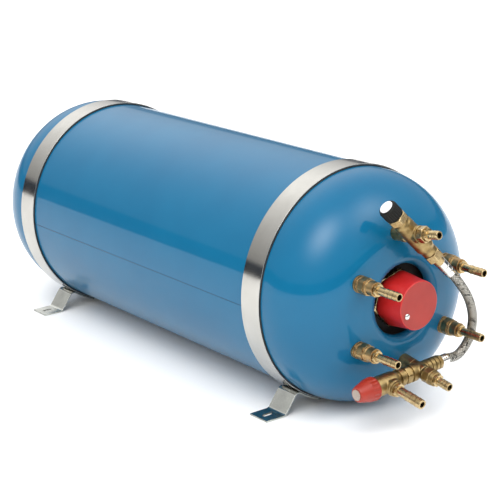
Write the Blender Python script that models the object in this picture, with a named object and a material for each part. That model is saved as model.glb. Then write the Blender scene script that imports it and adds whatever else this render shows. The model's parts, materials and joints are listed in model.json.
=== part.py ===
"""Horizontal hot water tank (marine calorifier) with two heating coils, an immersion heater,
a thermostatic mixing valve, a cold inlet manifold with a relief valve, and two strapped pairs
of feet. Metres, +Z up. The floor is z = 0, the tank lies along X, and the fittings are at +X.
The origin is under the middle of the whole object's box."""

import math

import bmesh
import bpy
from mathutils import Euler, Matrix, Vector

MM = 0.001
GAP = 0.3 * MM  # left between pieces that touch

# Tank shell: a barrel with two dished ends, each a knuckle arc and a flatter crown arc.
BARREL_RADIUS = 200 * MM
KNUCKLE_RADIUS = 111 * MM
CROWN_RADIUS = 705 * MM
FLOOR_CLEARANCE = 5 * MM
JACKET_WALL = 2 * MM
FOAM_THICKNESS = 43 * MM
VESSEL_WALL = 3 * MM

# Straps and feet.
STRAP_SPACING = 704 * MM
STRAP_WIDTH = 45 * MM
STRAIGHT_PAST_STRAP = 12.5 * MM
STRAP_WALL = 2 * MM
LINER_WALL = 1.5 * MM
LINER_OVERHANG = 1.2 * MM
EAR_LENGTH = 20 * MM
EAR_GAP = 12 * MM
BOLT_HEAD_LENGTH = 5 * MM
BOLT_NUT_LENGTH = 6 * MM
BOLT_END = 4 * MM  # of the shaft, past its nut
EAR_ANGLE = math.radians(40)  # below level, on the far side
STRAP_BOLT_RADIUS = 4 * MM
STRAP_BOLT_HEX = 13 * MM
FOOT_WALL = 3 * MM
FOOT_PLATE_LENGTH = 40.15 * MM  # from where its leg would meet the floor
FOOT_LEG_ANGLE = math.radians(36)  # from straight down, seen from the tank's axis
FOOT_FLANGE_ANGLE = math.radians(19)
FOOT_BEND_RADIUS = 9 * MM
FOOT_SLOT_LENGTH = 20 * MM
FOOT_SLOT_WIDTH = 8 * MM
FOOT_SLOT_FROM_EDGE = 19 * MM

# Recess in the jacket round the heater, and the heater.
RECESS_RADIUS = 60 * MM
RECESS_LIP_RADIUS = 14 * MM
RECESS_FOAM_GAP = 4 * MM
HEATER_FACE = -23 * MM  # front of the hexagon, from the jacket's apex
HEX_ACROSS_FLATS = 86 * MM
HEX_THICKNESS = 10 * MM
GASKET_WALL = 2 * MM
BOSS_RADIUS = 38 * MM
BOSS_INSIDE = 8 * MM
SPIGOT_RADIUS = 29 * MM
SPIGOT_LENGTH = 26 * MM
ELEMENT_RADIUS = 4 * MM
ELEMENT_SPREAD = 13 * MM
ELEMENT_LENGTH = 300 * MM
ELEMENT_DOWN = 9 * MM
PIN_LENGTH = 6 * MM  # of the element, in front of the hexagon
POCKET_RADIUS = 6.5 * MM
POCKET_WALL = 1 * MM
POCKET_LENGTH = 210 * MM
POCKET_UP = 15 * MM
THERMOSTAT_SIZE = (22 * MM, 30 * MM, 22 * MM)
DIAL_RADIUS = 8 * MM
DIAL_THICKNESS = 4 * MM
TERMINAL_SIZE = (14 * MM, 34 * MM, 12 * MM)
TERMINAL_DOWN = 10 * MM
COVER_RADIUS = 41.5 * MM
COVER_BASE_RADIUS = 42.5 * MM
COVER_CORNER_BULGE = 4.5 * MM
COVER_HEIGHT = 52 * MM
COVER_WALL = 2 * MM
COVER_SCREW_PLACE = (-27 * MM, -13 * MM)
COVER_SCREW_RADIUS = 2.5 * MM
COVER_SCREW_HEAD = 5.5 * MM
COVER_SCREW_HEAD_HEIGHT = 3.5 * MM
COVER_SCREW_GRIP = 12 * MM  # of its thread, in the post
COVER_POST_RADIUS = 4.5 * MM
COVER_POST_SHORT = 12 * MM  # of the cover's face
COVER_EDGE = 2 * MM
COVER_SEGMENTS = 24
BOSS_SEGMENTS = 24
HEX_TURN = math.radians(15)  # from +Y to a corner of each hexagon

# Heating coils, one helix inside the other, with straight legs between them.
COIL_TUBE_RADIUS = 7 * MM
COIL_PORT_Y = 95 * MM
COIL_PORT_HIGH = 47 * MM
COIL_PORT_LOW = -64 * MM
COIL_PITCH = 70 * MM
COIL_TURNS = 4
COIL_CLEARANCE = 5 * MM  # between a helix and the legs that pass it
COIL_START = 130 * MM  # of the helix, from the crown of the vessel
COIL_LEAD = math.radians(18)  # from a leg to where its helix starts
COIL_TUBE_WALL = 2 * MM

# Unions and hose tails on the coils.
UNION_RADIUS = 14.5 * MM
UNION_LENGTH = 48 * MM
UNION_SUNK = 8 * MM
UNION_RINGS = 3
UNION_NECK_STEP = 2 * MM
UNION_RINGS_END = 30 * MM
RING_DEPTH = 1.5 * MM
TAIL_RADIUS = 7.5 * MM
TAIL_BORE = 5 * MM
TAIL_COLLAR_LENGTH = 4 * MM
TAIL_COLLAR_STEP = 3 * MM
TAIL_TIP_LENGTH = 2 * MM
TAIL_TIP_STEP = 0.6 * MM
COIL_TAIL_LENGTH = 50 * MM

# Mixing valve. Its own axis runs from the knob, high at -Y, down to the hose at +Y.
HOT_PORT_Y = -16 * MM
HOT_PORT_UP = 116 * MM
HOT_PORT_TILT = math.radians(10)
HOT_STANDOFF = 37 * MM
NIPPLE_RADIUS = 12 * MM
NIPPLE_BORE = 8 * MM
NIPPLE_INSIDE = 12 * MM
MIXER_SLOPE = math.radians(46)
MIXER_RADIUS = 15.5 * MM
MIXER_STEP = 2 * MM  # its ends are that much thinner
MIXER_BORE = 9 * MM
MIXER_LID = 6 * MM
MIXER_STUB_RADIUS = 14 * MM
MIXER_STUB_BACK = 3 * MM  # past the body
MIXER_STUB_FRONT = 4 * MM
MIXER_TOP = -36 * MM
MIXER_TOP_TAPER = 8 * MM
MIXER_BOTTOM = 49 * MM
MIXER_TAPER_LENGTH = 9 * MM  # the thin end at the bottom
BONNET_HEX = 30 * MM
BONNET_LENGTH = 12 * MM
SPINDLE_RADIUS = 4 * MM
SPINDLE_INSIDE = 10 * MM  # of the body
KNOB_RADIUS = 15.5 * MM
KNOB_LENGTH = 22 * MM
KNOB_CROWN = 6 * MM
KNOB_DISC_RADIUS = 11 * MM
PISTON_LENGTH = 42 * MM
PISTON_LAND = 6 * MM
PISTON_STROKE = 3.5 * MM
PISTON_CLEARANCE = 2 * MM  # to the spindle, at the end of its stroke
MIXER_OUTLET_TIP = 60 * MM  # of the tail, from the valve's axis
OUTLET_NUT_HEX = 24 * MM
OUTLET_NUT_LENGTH = 12 * MM

# Braided hose from the mixing valve to the cold manifold.
HOSE_RADIUS = 8 * MM
HOSE_NUT_HEX = 26 * MM
HOSE_NUT_LENGTH = 28 * MM
FERRULE_RADIUS = 9.5 * MM
FERRULE_LENGTH = 32 * MM
HOSE_LEAD = 16 * MM  # straight out of each end
HOSE_ROUTE = [  # (y, z) from the tank's axis, between the two straight leads
    (100 * MM, 0 * MM),
    (114 * MM, -27 * MM),
    (119 * MM, -51 * MM),
    (116 * MM, -75 * MM),
    (106 * MM, -93 * MM),
    (88 * MM, -106 * MM),
]

# Cold manifold. Its axis runs along Y.
COLD_PORT_Y = 3 * MM
COLD_PORT_DOWN = -105 * MM
COLD_PORT_TILT = math.radians(8.5)
COLD_PORT_ROLL = math.radians(4)  # lowers the relief valve's end of the manifold
COLD_STANDOFF = 38 * MM
CROSS_RADIUS = 12 * MM
CROSS_ARM = 1 * MM  # that each way out stands past the round body
CROSS_BORE = 8 * MM
CHECK_RADIUS = 14 * MM
CHECK_LENGTH = 27 * MM
CHECK_BORE = 10 * MM
CHECK_CONE = 4 * MM  # from the cross's radius to its own
CHECK_TAPER = 8 * MM
CHECK_END_RADIUS = 11.5 * MM
CHECK_LID = 4 * MM
CHECK_SHOULDER = 2 * MM
POPPET_RADIUS = 8.5 * MM
POPPET_THICKNESS = 3 * MM
POPPET_STEM_RADIUS = 2.5 * MM
POPPET_STEM_SHORT = 3 * MM  # of the shoulder when it is fully open
POPPET_SEAT_STEP = 3 * MM
POPPET_STROKE = 4 * MM
COLD_TAIL_TIP = 108 * MM  # from the port on the jacket
RELIEF_ADAPTER_LENGTH = 40 * MM
RELIEF_ADAPTER_RADIUS = 15 * MM
RELIEF_BODY_RADIUS = 17 * MM
RELIEF_BODY_LENGTH = 46 * MM
RELIEF_STUB_RADIUS = 14 * MM
RELIEF_BORE = 11.5 * MM
RELIEF_FLOOR = 3 * MM
RELIEF_LID = 4 * MM
RELIEF_STEM_RADIUS = 3 * MM
RELIEF_STEM_OUTSIDE = 18 * MM
RELIEF_VALVE_DISC = 4 * MM
RELIEF_STROKE = 2 * MM
RELIEF_CAP_RADIUS = 20 * MM
RELIEF_CAP_GRIP = 14 * MM
RELIEF_CAP_END_RADIUS = 12.5 * MM
RELIEF_CAP_LENGTH = 37 * MM
RELIEF_CAP_WALL = 3 * MM
RELIEF_CAP_CLEARANCE = 4 * MM  # to the stem when it is lifted
RELIEF_DISC_RADIUS = 9 * MM
DISCHARGE_TIP = 83 * MM  # from the manifold's axis
DISCHARGE_RADIUS = 8.5 * MM
DISCHARGE_NEARER = 4 * MM  # to the manifold than the middle of the valve's body
DISCHARGE_STUB = 8 * MM
HOSE_ADAPTER_LENGTH = 34 * MM
HOSE_ADAPTER_RADIUS = 12 * MM

SPRING_WIRE_RADIUS = 0.9 * MM
SPRING_TURNS = 3
DISC_THICKNESS = 1.5 * MM
CHAMFER = 1 * MM
OVERCUT = 1 * MM  # a cutter goes that far past what it cuts
ROUND = 16  # segments of the larger round pieces


# Values that follow from the driving ones.
AXIS_HEIGHT = BARREL_RADIUS + FLOOR_CLEARANCE
HALF_BARREL = STRAP_SPACING / 2 + STRAP_WIDTH / 2 + STRAIGHT_PAST_STRAP
VESSEL_OFFSET = JACKET_WALL + FOAM_THICKNESS


def dish_x(radius, offset=0.0):
    """How far past the barrel the dished end is at a radius, for a surface sunk by offset."""
    knuckle = KNUCKLE_RADIUS - offset
    crown = CROWN_RADIUS - offset
    hub = BARREL_RADIUS - KNUCKLE_RADIUS
    crown_centre = -math.sqrt((crown - knuckle) ** 2 - hub ** 2)
    if radius <= crown * hub / (crown - knuckle):
        return crown_centre + math.sqrt(crown ** 2 - radius ** 2)
    return math.sqrt(max(knuckle ** 2 - (radius - hub) ** 2, 0.0))


def dish_profile(offset, end_radius, knuckle_steps, crown_steps):
    """Points (x, radius) from the barrel's end to end_radius, x counted from the barrel's end."""
    knuckle = KNUCKLE_RADIUS - offset
    crown = CROWN_RADIUS - offset
    hub = BARREL_RADIUS - KNUCKLE_RADIUS
    tangent = math.asin(hub / (crown - knuckle))
    crown_centre = -math.sqrt((crown - knuckle) ** 2 - hub ** 2)
    points = []
    for step in range(knuckle_steps):
        turn = math.pi / 2 + (tangent - math.pi / 2) * step / knuckle_steps
        points.append((knuckle * math.cos(turn), hub + knuckle * math.sin(turn)))
    end = math.asin(end_radius / crown)
    for step in range(crown_steps + 1):
        turn = tangent + (end - tangent) * step / crown_steps
        points.append((crown_centre + crown * math.cos(turn), crown * math.sin(turn)))
    return points


RING_SEGMENTS = 36  # one count for all nested rings, so that their flats line up
RING_STEP = math.tau / RING_SEGMENTS
JACKET_STEPS = (4, 2)  # of the knuckle and of the crown
VESSEL_STEPS = (3, 1)
APEX = HALF_BARREL + dish_x(0.0)
COLD_PORT_X = HALF_BARREL + dish_x(math.hypot(COLD_PORT_Y, COLD_PORT_DOWN))
HOT_PORT_X = HALF_BARREL + dish_x(math.hypot(HOT_PORT_Y, HOT_PORT_UP))
COIL_PORT_X = HALF_BARREL + dish_x(math.hypot(COIL_PORT_Y, COIL_PORT_LOW))
HOT_PORT = (HOT_PORT_X, HOT_PORT_Y, HOT_PORT_UP)
COLD_PORT = (COLD_PORT_X, COLD_PORT_Y, COLD_PORT_DOWN)


def frame_at(place_at, tilt=0.0, roll=0.0):
    """A frame whose +X is tipped down by tilt, after a roll about it."""
    return Matrix.LocRotScale(Vector(place_at), Euler((roll, tilt, 0.0)), None)


HOT_FRAME = frame_at(HOT_PORT, -HOT_PORT_TILT)
COLD_FRAME = frame_at(COLD_PORT, COLD_PORT_TILT, COLD_PORT_ROLL)
RELIEF_FRAME = frame_at((COLD_STANDOFF, 0, 0))
CROSS_HALF = CROSS_RADIUS + CROSS_ARM
RELIEF_START = CROSS_HALF + GAP + RELIEF_ADAPTER_LENGTH + GAP
RELIEF_END = RELIEF_START + RELIEF_BODY_LENGTH
DISCHARGE_Y = DISCHARGE_NEARER - RELIEF_START - RELIEF_BODY_LENGTH / 2
DISCHARGE_RIM = [(DISCHARGE_TIP, DISCHARGE_Y + DISCHARGE_RADIUS * side, DISCHARGE_RADIUS * up)
                 for side, up in ((0, 1), (1, 0), (0, -1), (-1, 0))]
FAR_X = max((COLD_FRAME @ RELIEF_FRAME @ Vector(point)).x for point in DISCHARGE_RIM)
TANK_MIDDLE = ((APEX - FAR_X) / 2, 0.0, AXIS_HEIGHT)
HEX_BACK = HEATER_FACE - HEX_THICKNESS
POST_END = HEATER_FACE + COVER_HEIGHT - COVER_POST_SHORT
STRAP_MIDDLE = BARREL_RADIUS + LINER_WALL + 2 * GAP + STRAP_WALL / 2
FOOT_EDGE_Y = (AXIS_HEIGHT - FOOT_WALL / 2) * math.tan(FOOT_LEG_ANGLE) + FOOT_PLATE_LENGTH
MIXER_FRONT = HOT_STANDOFF + MIXER_RADIUS + MIXER_STUB_FRONT
EAR_WAY = Vector((math.cos(EAR_ANGLE), -math.sin(EAR_ANGLE)))
MIXER_LINE = {"at": (HOT_STANDOFF, 0, 0), "along": (0, math.cos(MIXER_SLOPE), -math.sin(MIXER_SLOPE))}
RELIEF_LINE = {"along": (0, -1, 0)}


def finish(name, colour, roughness, metallic):
    material = bpy.data.materials.new(name)
    material.use_nodes = True
    shader = material.node_tree.nodes["Principled BSDF"]
    shader.inputs["Base Color"].default_value = (*colour, 1.0)
    shader.inputs["Roughness"].default_value = roughness
    shader.inputs["Metallic"].default_value = metallic
    return material


for old in list(bpy.data.objects):
    bpy.data.objects.remove(old, do_unlink=True)

BLUE_PAINT = finish("blue_paint", (0.02, 0.16, 0.36), 0.25, 0.0)
FOAM = finish("foam", (0.85, 0.78, 0.45), 0.9, 0.0)
COPPER = finish("copper", (0.72, 0.36, 0.2), 0.35, 1.0)
BRASS = finish("brass", (0.72, 0.55, 0.25), 0.3, 1.0)
STEEL = finish("steel", (0.75, 0.76, 0.78), 0.25, 1.0)
BRAID = finish("braid", (0.55, 0.55, 0.52), 0.45, 0.8)
RED_PLASTIC = finish("red_plastic", (0.55, 0.03, 0.03), 0.4, 0.0)
RED_CAP = finish("red_cap", (0.75, 0.08, 0.03), 0.4, 0.0)
BLACK_PLASTIC = finish("black_plastic", (0.02, 0.02, 0.02), 0.5, 0.0)
WHITE_PLASTIC = finish("white_plastic", (0.85, 0.85, 0.85), 0.4, 0.0)
RUBBER = finish("rubber", (0.03, 0.03, 0.03), 0.8, 0.0)


def group(name, frame, parent=None):
    """An empty that holds one assembly's own frame."""
    empty = bpy.data.objects.new(name, None)
    bpy.context.collection.objects.link(empty)
    empty.parent = parent
    empty.matrix_local = frame
    return empty


def place(bm, name, material, parent, at=(0, 0, 0), along=(1, 0, 0)):
    """Makes the node from a mesh whose main axis is local X, and aims that axis."""
    bmesh.ops.recalc_face_normals(bm, faces=bm.faces)
    mesh = bpy.data.meshes.new(name)
    bm.to_mesh(mesh)
    bm.free()
    mesh.shade_smooth()
    mesh.set_sharp_from_angle(angle=math.radians(35))
    mesh.materials.append(material)
    node = bpy.data.objects.new(name, mesh)
    bpy.context.collection.objects.link(node)
    node.parent = parent
    node.location = at
    node.rotation_mode = "QUATERNION"
    node.rotation_quaternion = Vector(along).to_track_quat("X", "Z")
    return node


def lathe(name, profile, material, parent, at=(0, 0, 0), along=(1, 0, 0), segments=12):
    """Turns (along, radius) points about X: a loop of them, or a line that ends on the axis."""
    bm = bmesh.new()
    ring = [bm.verts.new((x, radius, 0)) for x, radius in profile]
    edges = [bm.edges.new(pair) for pair in zip(ring, ring[1:])]
    if profile[0][1] > 0 and profile[-1][1] > 0:
        edges.append(bm.edges.new((ring[-1], ring[0])))
    bmesh.ops.spin(bm, geom=ring + edges, axis=(1, 0, 0), cent=(0, 0, 0),
                   angle=math.tau, steps=segments, use_merge=True)
    bmesh.ops.remove_doubles(bm, verts=bm.verts, dist=1e-6)
    return place(bm, name, material, parent, at, along)


def rod(name, radius, start, end, material, parent, **how):
    profile = [(start, 0), (start, radius), (end, radius), (end, 0)]
    return lathe(name, profile, material, parent, **how)


def tube(name, radius, bore, start, end, material, parent, **how):
    profile = [(start, bore), (start, radius), (end, radius), (end, bore)]
    return lathe(name, profile, material, parent, **how)


def prism(name, outline, start, end, material, parent, at=(0, 0, 0), along=(1, 0, 0)):
    """Extrudes a (y, z) outline along X."""
    bm = bmesh.new()
    face = bm.faces.new([bm.verts.new((start, y, z)) for y, z in outline])
    grown = bmesh.ops.extrude_face_region(bm, geom=[face])
    moved = [v for v in grown["geom"] if isinstance(v, bmesh.types.BMVert)]
    bmesh.ops.translate(bm, verts=moved, vec=(end - start, 0, 0))
    return place(bm, name, material, parent, at, along)


def hexagon(across_flats):
    corner = across_flats / math.sqrt(3)
    turns = [HEX_TURN + math.tau * side / 6 for side in range(6)]
    return [(corner * math.cos(turn), corner * math.sin(turn)) for turn in turns]


def block(name, size, centre, material, parent):
    sy, sz = size[1] / 2, size[2] / 2
    outline = [(-sy, -sz), (sy, -sz), (sy, sz), (-sy, sz)]
    return prism(name, outline, -size[0] / 2, size[0] / 2, material, parent, at=centre)


def helper(tool):
    tool.hide_render = True
    tool.display_type = "WIRE"
    return tool


def change(node, tool, operation="DIFFERENCE"):
    step = node.modifiers.new(operation.lower(), "BOOLEAN")
    step.operation = operation
    step.solver = "EXACT"
    step.object = helper(tool)


def drill(node, radius, start, end, parent, at=(0, 0, 0), along=(1, 0, 0), segments=12):
    tool = rod(node.name + "_cut", radius, start, end, RUBBER, parent,
               at=at, along=along, segments=segments)
    change(node, tool)


def curve_tube(name, points, radius, material, parent, sides=2):
    """A round bar along a list of points."""
    data = bpy.data.curves.new(name, "CURVE")
    data.dimensions = "3D"
    data.bevel_depth = radius
    data.bevel_resolution = sides
    data.use_fill_caps = True
    data.twist_mode = "MINIMUM"
    spline = data.splines.new("POLY")
    spline.points.add(len(points) - 1)
    for knot, point in zip(spline.points, points):
        knot.co = (*point, 1.0)
    data.materials.append(material)
    node = bpy.data.objects.new(name, data)
    bpy.context.collection.objects.link(node)
    node.parent = parent
    return node


def ribbed(radius, start, end, ribs, depth=RING_DEPTH):
    """Outer points (x, radius) of a fitting with square ribs."""
    points = []
    pitch = (end - start) / (2 * ribs - 1)
    for rib in range(ribs):
        x = start + 2 * pitch * rib
        points += [(x, radius), (x + pitch, radius)]
        if rib < ribs - 1:
            points += [(x + pitch, radius - depth), (x + 2 * pitch, radius - depth)]
    return points


def shell_loop(offset, wall, end_points, inner_end_points, inner_end_radius, end_radius,
               outer_steps=JACKET_STEPS, inner_steps=JACKET_STEPS):
    """A closed far end, a barrel and a near end that is open at end_points."""
    outer = dish_profile(offset, end_radius, *outer_steps)
    far = dish_profile(offset, 0.0, *outer_steps)
    inner = dish_profile(offset + wall, inner_end_radius, *inner_steps)
    inner_far = dish_profile(offset + wall, 0.0, *inner_steps)
    loop = [(-HALF_BARREL - x, radius) for x, radius in reversed(far)]
    loop += [(HALF_BARREL + x, radius) for x, radius in outer]
    loop += end_points + inner_end_points
    loop += [(HALF_BARREL + x, radius) for x, radius in reversed(inner)]
    loop += [(-HALF_BARREL - x, radius) for x, radius in inner_far]
    return [(x, max(radius, 0.0)) for x, radius in loop]


tank = group("tank", frame_at(TANK_MIDDLE))
hot_port = group("hot_port", HOT_FRAME, tank)
cold_port = group("cold_port", COLD_FRAME, tank)
relief_valve = group("relief_valve", RELIEF_FRAME, cold_port)
heater_group = group("heater_group", frame_at((APEX, 0, 0)), tank)

COIL_PORTS = {
    "left_upper": (-COIL_PORT_Y, COIL_PORT_HIGH),
    "left_lower": (-COIL_PORT_Y, COIL_PORT_LOW),
    "right_upper": (COIL_PORT_Y, COIL_PORT_HIGH),
    "right_lower": (COIL_PORT_Y, COIL_PORT_LOW),
}
UNION_BACK = COIL_PORT_X - UNION_SUNK
VESSEL_CROWN = HALF_BARREL + dish_x(0.0, VESSEL_OFFSET)


def lip_points(radius, wall_side):
    """The jacket's edge, rolled inward round the heater: outer side, then inner side."""
    centre_radius = RECESS_RADIUS + RECESS_LIP_RADIUS
    centre_x = HALF_BARREL + dish_x(centre_radius) - RECESS_LIP_RADIUS
    turns = [math.pi / 2 * step / 4 for step in wall_side]
    return [(centre_x + radius * math.cos(turn), centre_radius - radius * math.sin(turn))
            for turn in turns]


def make_jacket():
    lip_centre = RECESS_RADIUS + RECESS_LIP_RADIUS
    outside = lip_points(RECESS_LIP_RADIUS, (1, 2, 3, 4))
    inside = lip_points(RECESS_LIP_RADIUS - JACKET_WALL, (4, 3, 2, 1))
    loop = shell_loop(0.0, JACKET_WALL, outside, inside, lip_centre, lip_centre)
    return lathe("jacket", loop, BLUE_PAINT, tank, segments=RING_SEGMENTS)


def make_insulation():
    """Foam between jacket and vessel, cut back behind the heater's recess."""
    offset = JACKET_WALL + GAP
    wide = RECESS_RADIUS + RECESS_LIP_RADIUS + RECESS_FOAM_GAP
    hole = BOSS_RADIUS + GAP
    floor_x = APEX + HEATER_FACE - HEX_THICKNESS - GASKET_WALL - RECESS_FOAM_GAP
    corner = [(floor_x, wide), (floor_x, hole)]
    wall = VESSEL_OFFSET - GAP - offset
    loop = shell_loop(offset, wall, corner, [], hole, wide, inner_steps=VESSEL_STEPS)
    return lathe("insulation", loop, FOAM, tank, segments=RING_SEGMENTS)


def make_vessel():
    hole = BOSS_RADIUS + GAP
    loop = shell_loop(VESSEL_OFFSET, VESSEL_WALL, [], [], hole, hole, VESSEL_STEPS, VESSEL_STEPS)
    return lathe("inner_vessel", loop, COPPER, tank, segments=RING_SEGMENTS)


def make_tank():
    jacket, foam, vessel = make_jacket(), make_insulation(), make_vessel()
    for y, z in COIL_PORTS.values():
        for shell in (jacket, foam):
            drill(shell, UNION_RADIUS + 2 * GAP, UNION_BACK - 2 * GAP, APEX + RECESS_LIP_RADIUS,
                  tank, at=(0, y, z))
        for shell in (foam, vessel):
            drill(shell, COIL_TUBE_RADIUS + 2 * GAP, HALF_BARREL - VESSEL_OFFSET, UNION_BACK, tank,
                  at=(0, y, z))
    for port in (hot_port, cold_port):
        for shell in (jacket, foam, vessel):
            drill(shell, NIPPLE_RADIUS + GAP, -2 * VESSEL_OFFSET, VESSEL_OFFSET, port)


def coil_route(port_in, port_out, radius):
    """Straight in to the far end, back in a helix round the tank's axis, out of the other port."""
    (y0, z0), (y1, z1) = port_in, port_out
    outer_end = UNION_BACK - GAP
    near = VESSEL_CROWN - COIL_START
    far = near - COIL_PITCH * COIL_TURNS
    bend = 4 * COIL_TUBE_RADIUS
    start = math.atan2(z0, y0) + COIL_LEAD
    sweep = (math.atan2(z1, y1) - start - COIL_LEAD) % math.tau + math.tau * (COIL_TURNS - 1)
    points = [(outer_end, y0, z0), (far + bend, y0, z0)]
    steps = 9 * COIL_TURNS
    for step in range(steps + 1):
        turn = start + sweep * step / steps
        x = far + (near - far) * step / steps
        points.append((x, radius * math.cos(turn), radius * math.sin(turn)))
    return points + [(near + bend, y1, z1), (outer_end, y1, z1)]


def make_coils():
    legs = [math.hypot(y, z) for y, z in COIL_PORTS.values()]
    apart = 2 * COIL_TUBE_RADIUS + COIL_CLEARANCE
    left = (COIL_PORTS["left_upper"], COIL_PORTS["left_lower"])
    right = (COIL_PORTS["right_lower"], COIL_PORTS["right_upper"])
    for name, ports, radius in (("coil_outer", left, max(legs) + apart),
                                ("coil_inner", right, min(legs) - apart)):
        curve_tube(name, coil_route(*ports, radius), COIL_TUBE_RADIUS, COPPER, tank, sides=1)


def make_coil_fittings():
    """A ringed union sunk in the jacket, and a hose tail on it, at each coil port."""
    bore = COIL_TUBE_RADIUS - COIL_TUBE_WALL
    neck = UNION_RADIUS - UNION_NECK_STEP
    profile = [(0, bore), (0, UNION_RADIUS - RING_DEPTH)]
    profile += ribbed(UNION_RADIUS, RING_DEPTH, UNION_RINGS_END, UNION_RINGS)
    profile += [(UNION_RINGS_END, neck), (UNION_LENGTH, neck), (UNION_LENGTH, bore)]
    tail_start = UNION_BACK + UNION_LENGTH + GAP
    for port, (y, z) in COIL_PORTS.items():
        lathe("coil_union_" + port, profile, BRASS, tank, at=(UNION_BACK, y, z))
        hose_tail("coil_tail_" + port, tank, (tail_start, y, z), COIL_TAIL_LENGTH, TAIL_RADIUS)


def hose_tail(name, parent, at, length, radius):
    """A collar and a pipe with a bore through both."""
    collar = radius + TAIL_COLLAR_STEP
    profile = [(0, TAIL_BORE), (0, collar), (TAIL_COLLAR_LENGTH, collar), (TAIL_COLLAR_LENGTH, radius),
               (length - TAIL_TIP_LENGTH, radius), (length, radius - TAIL_TIP_STEP), (length, TAIL_BORE)]
    return lathe(name, profile, BRASS, parent, at=at)


def make_heater_boss():
    """The threaded boss on the vessel, and the gasket between it and the hexagon."""
    face = HEX_BACK - GASKET_WALL - 2 * GAP
    start = -VESSEL_OFFSET - VESSEL_WALL - BOSS_INSIDE
    around = {"segments": BOSS_SEGMENTS}
    tube("heater_boss", BOSS_RADIUS, SPIGOT_RADIUS + GAP, start, face, COPPER, heater_group, **around)
    tube("heater_gasket", BOSS_RADIUS, SPIGOT_RADIUS + GAP, HEX_BACK - GAP - GASKET_WALL, HEX_BACK - GAP,
         RUBBER, heater_group, **around)


def make_heater_head():
    """The hexagon with its spigot, and the post that takes the cover's screw."""
    head = prism("heater_head", hexagon(HEX_ACROSS_FLATS), HEX_BACK, HEATER_FACE, BRASS, heater_group)
    spigot = rod("spigot", SPIGOT_RADIUS, HEX_BACK - SPIGOT_LENGTH, HEATER_FACE - OVERCUT, BRASS,
                 heater_group, segments=BOSS_SEGMENTS)
    change(head, spigot, "UNION")
    on_post = {"at": (0, *COVER_SCREW_PLACE)}
    post = rod("post", COVER_POST_RADIUS, HEATER_FACE - OVERCUT, POST_END, BRASS, heater_group, **on_post)
    change(head, post, "UNION")
    drill(head, COVER_SCREW_RADIUS + GAP, POST_END - COVER_SCREW_GRIP - 2 * OVERCUT, POST_END + OVERCUT,
          heater_group, **on_post)
    for y in (-ELEMENT_SPREAD, ELEMENT_SPREAD):
        drill(head, ELEMENT_RADIUS + GAP, -2 * VESSEL_OFFSET, 0, heater_group, at=(0, y, -ELEMENT_DOWN))
    drill(head, POCKET_RADIUS + GAP, -2 * VESSEL_OFFSET, 0, heater_group, at=(0, 0, POCKET_UP))


def make_element():
    """The hairpin element, with the terminals on the ends that pass the hexagon."""
    pin_x = HEATER_FACE + PIN_LENGTH
    bend_x = HEATER_FACE - ELEMENT_LENGTH
    points = [(pin_x, -ELEMENT_SPREAD, -ELEMENT_DOWN)]
    for step in range(7):
        turn = math.pi * step / 6
        points.append((bend_x - ELEMENT_SPREAD * math.sin(turn), -ELEMENT_SPREAD * math.cos(turn),
                       -ELEMENT_DOWN))
    points.append((pin_x, ELEMENT_SPREAD, -ELEMENT_DOWN))
    curve_tube("heater_element", points, ELEMENT_RADIUS, COPPER, heater_group, sides=1)
    centre = (pin_x + GAP + TERMINAL_SIZE[0] / 2, 0, -TERMINAL_DOWN)
    block("terminal_block", TERMINAL_SIZE, centre, BLACK_PLASTIC, heater_group)


def make_thermostat():
    """The pocket in the hexagon, the thermostat whose stem goes down it, and its dial."""
    where = {"at": (0, 0, POCKET_UP)}
    bore = POCKET_RADIUS - POCKET_WALL
    closed = HEATER_FACE - POCKET_LENGTH
    open_end = HEATER_FACE + CHAMFER
    inside = closed + 2 * POCKET_WALL
    lathe("thermostat_pocket", [
        (closed, 0), (closed, POCKET_RADIUS), (open_end, POCKET_RADIUS), (open_end, bore), (inside, bore),
        (inside, 0),
    ], COPPER, heater_group, **where)
    middle = open_end + CHAMFER + THERMOSTAT_SIZE[0] / 2
    body = block("thermostat_body", THERMOSTAT_SIZE, (middle, 0, POCKET_UP), WHITE_PLASTIC, heater_group)
    stem = rod("stem", bore - GAP, inside + 4 * POCKET_WALL, middle, STEEL, heater_group, **where)
    change(body, stem, "UNION")
    dial_x = middle + THERMOSTAT_SIZE[0] / 2 + GAP
    rod("thermostat_dial", DIAL_RADIUS, dial_x, dial_x + DIAL_THICKNESS, RED_PLASTIC, heater_group, **where)


def cover_ring(bm, x, radius, bulge):
    """A ring that swells at the hexagon's corners by bulge."""
    ring = []
    for step in range(COVER_SEGMENTS):
        turn = HEX_TURN + math.tau * step / COVER_SEGMENTS
        reach = radius + bulge * (0.5 + 0.5 * math.cos(6 * (turn - HEX_TURN)))
        ring.append(bm.verts.new((x, reach * math.cos(turn), reach * math.sin(turn))))
    return ring


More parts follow.
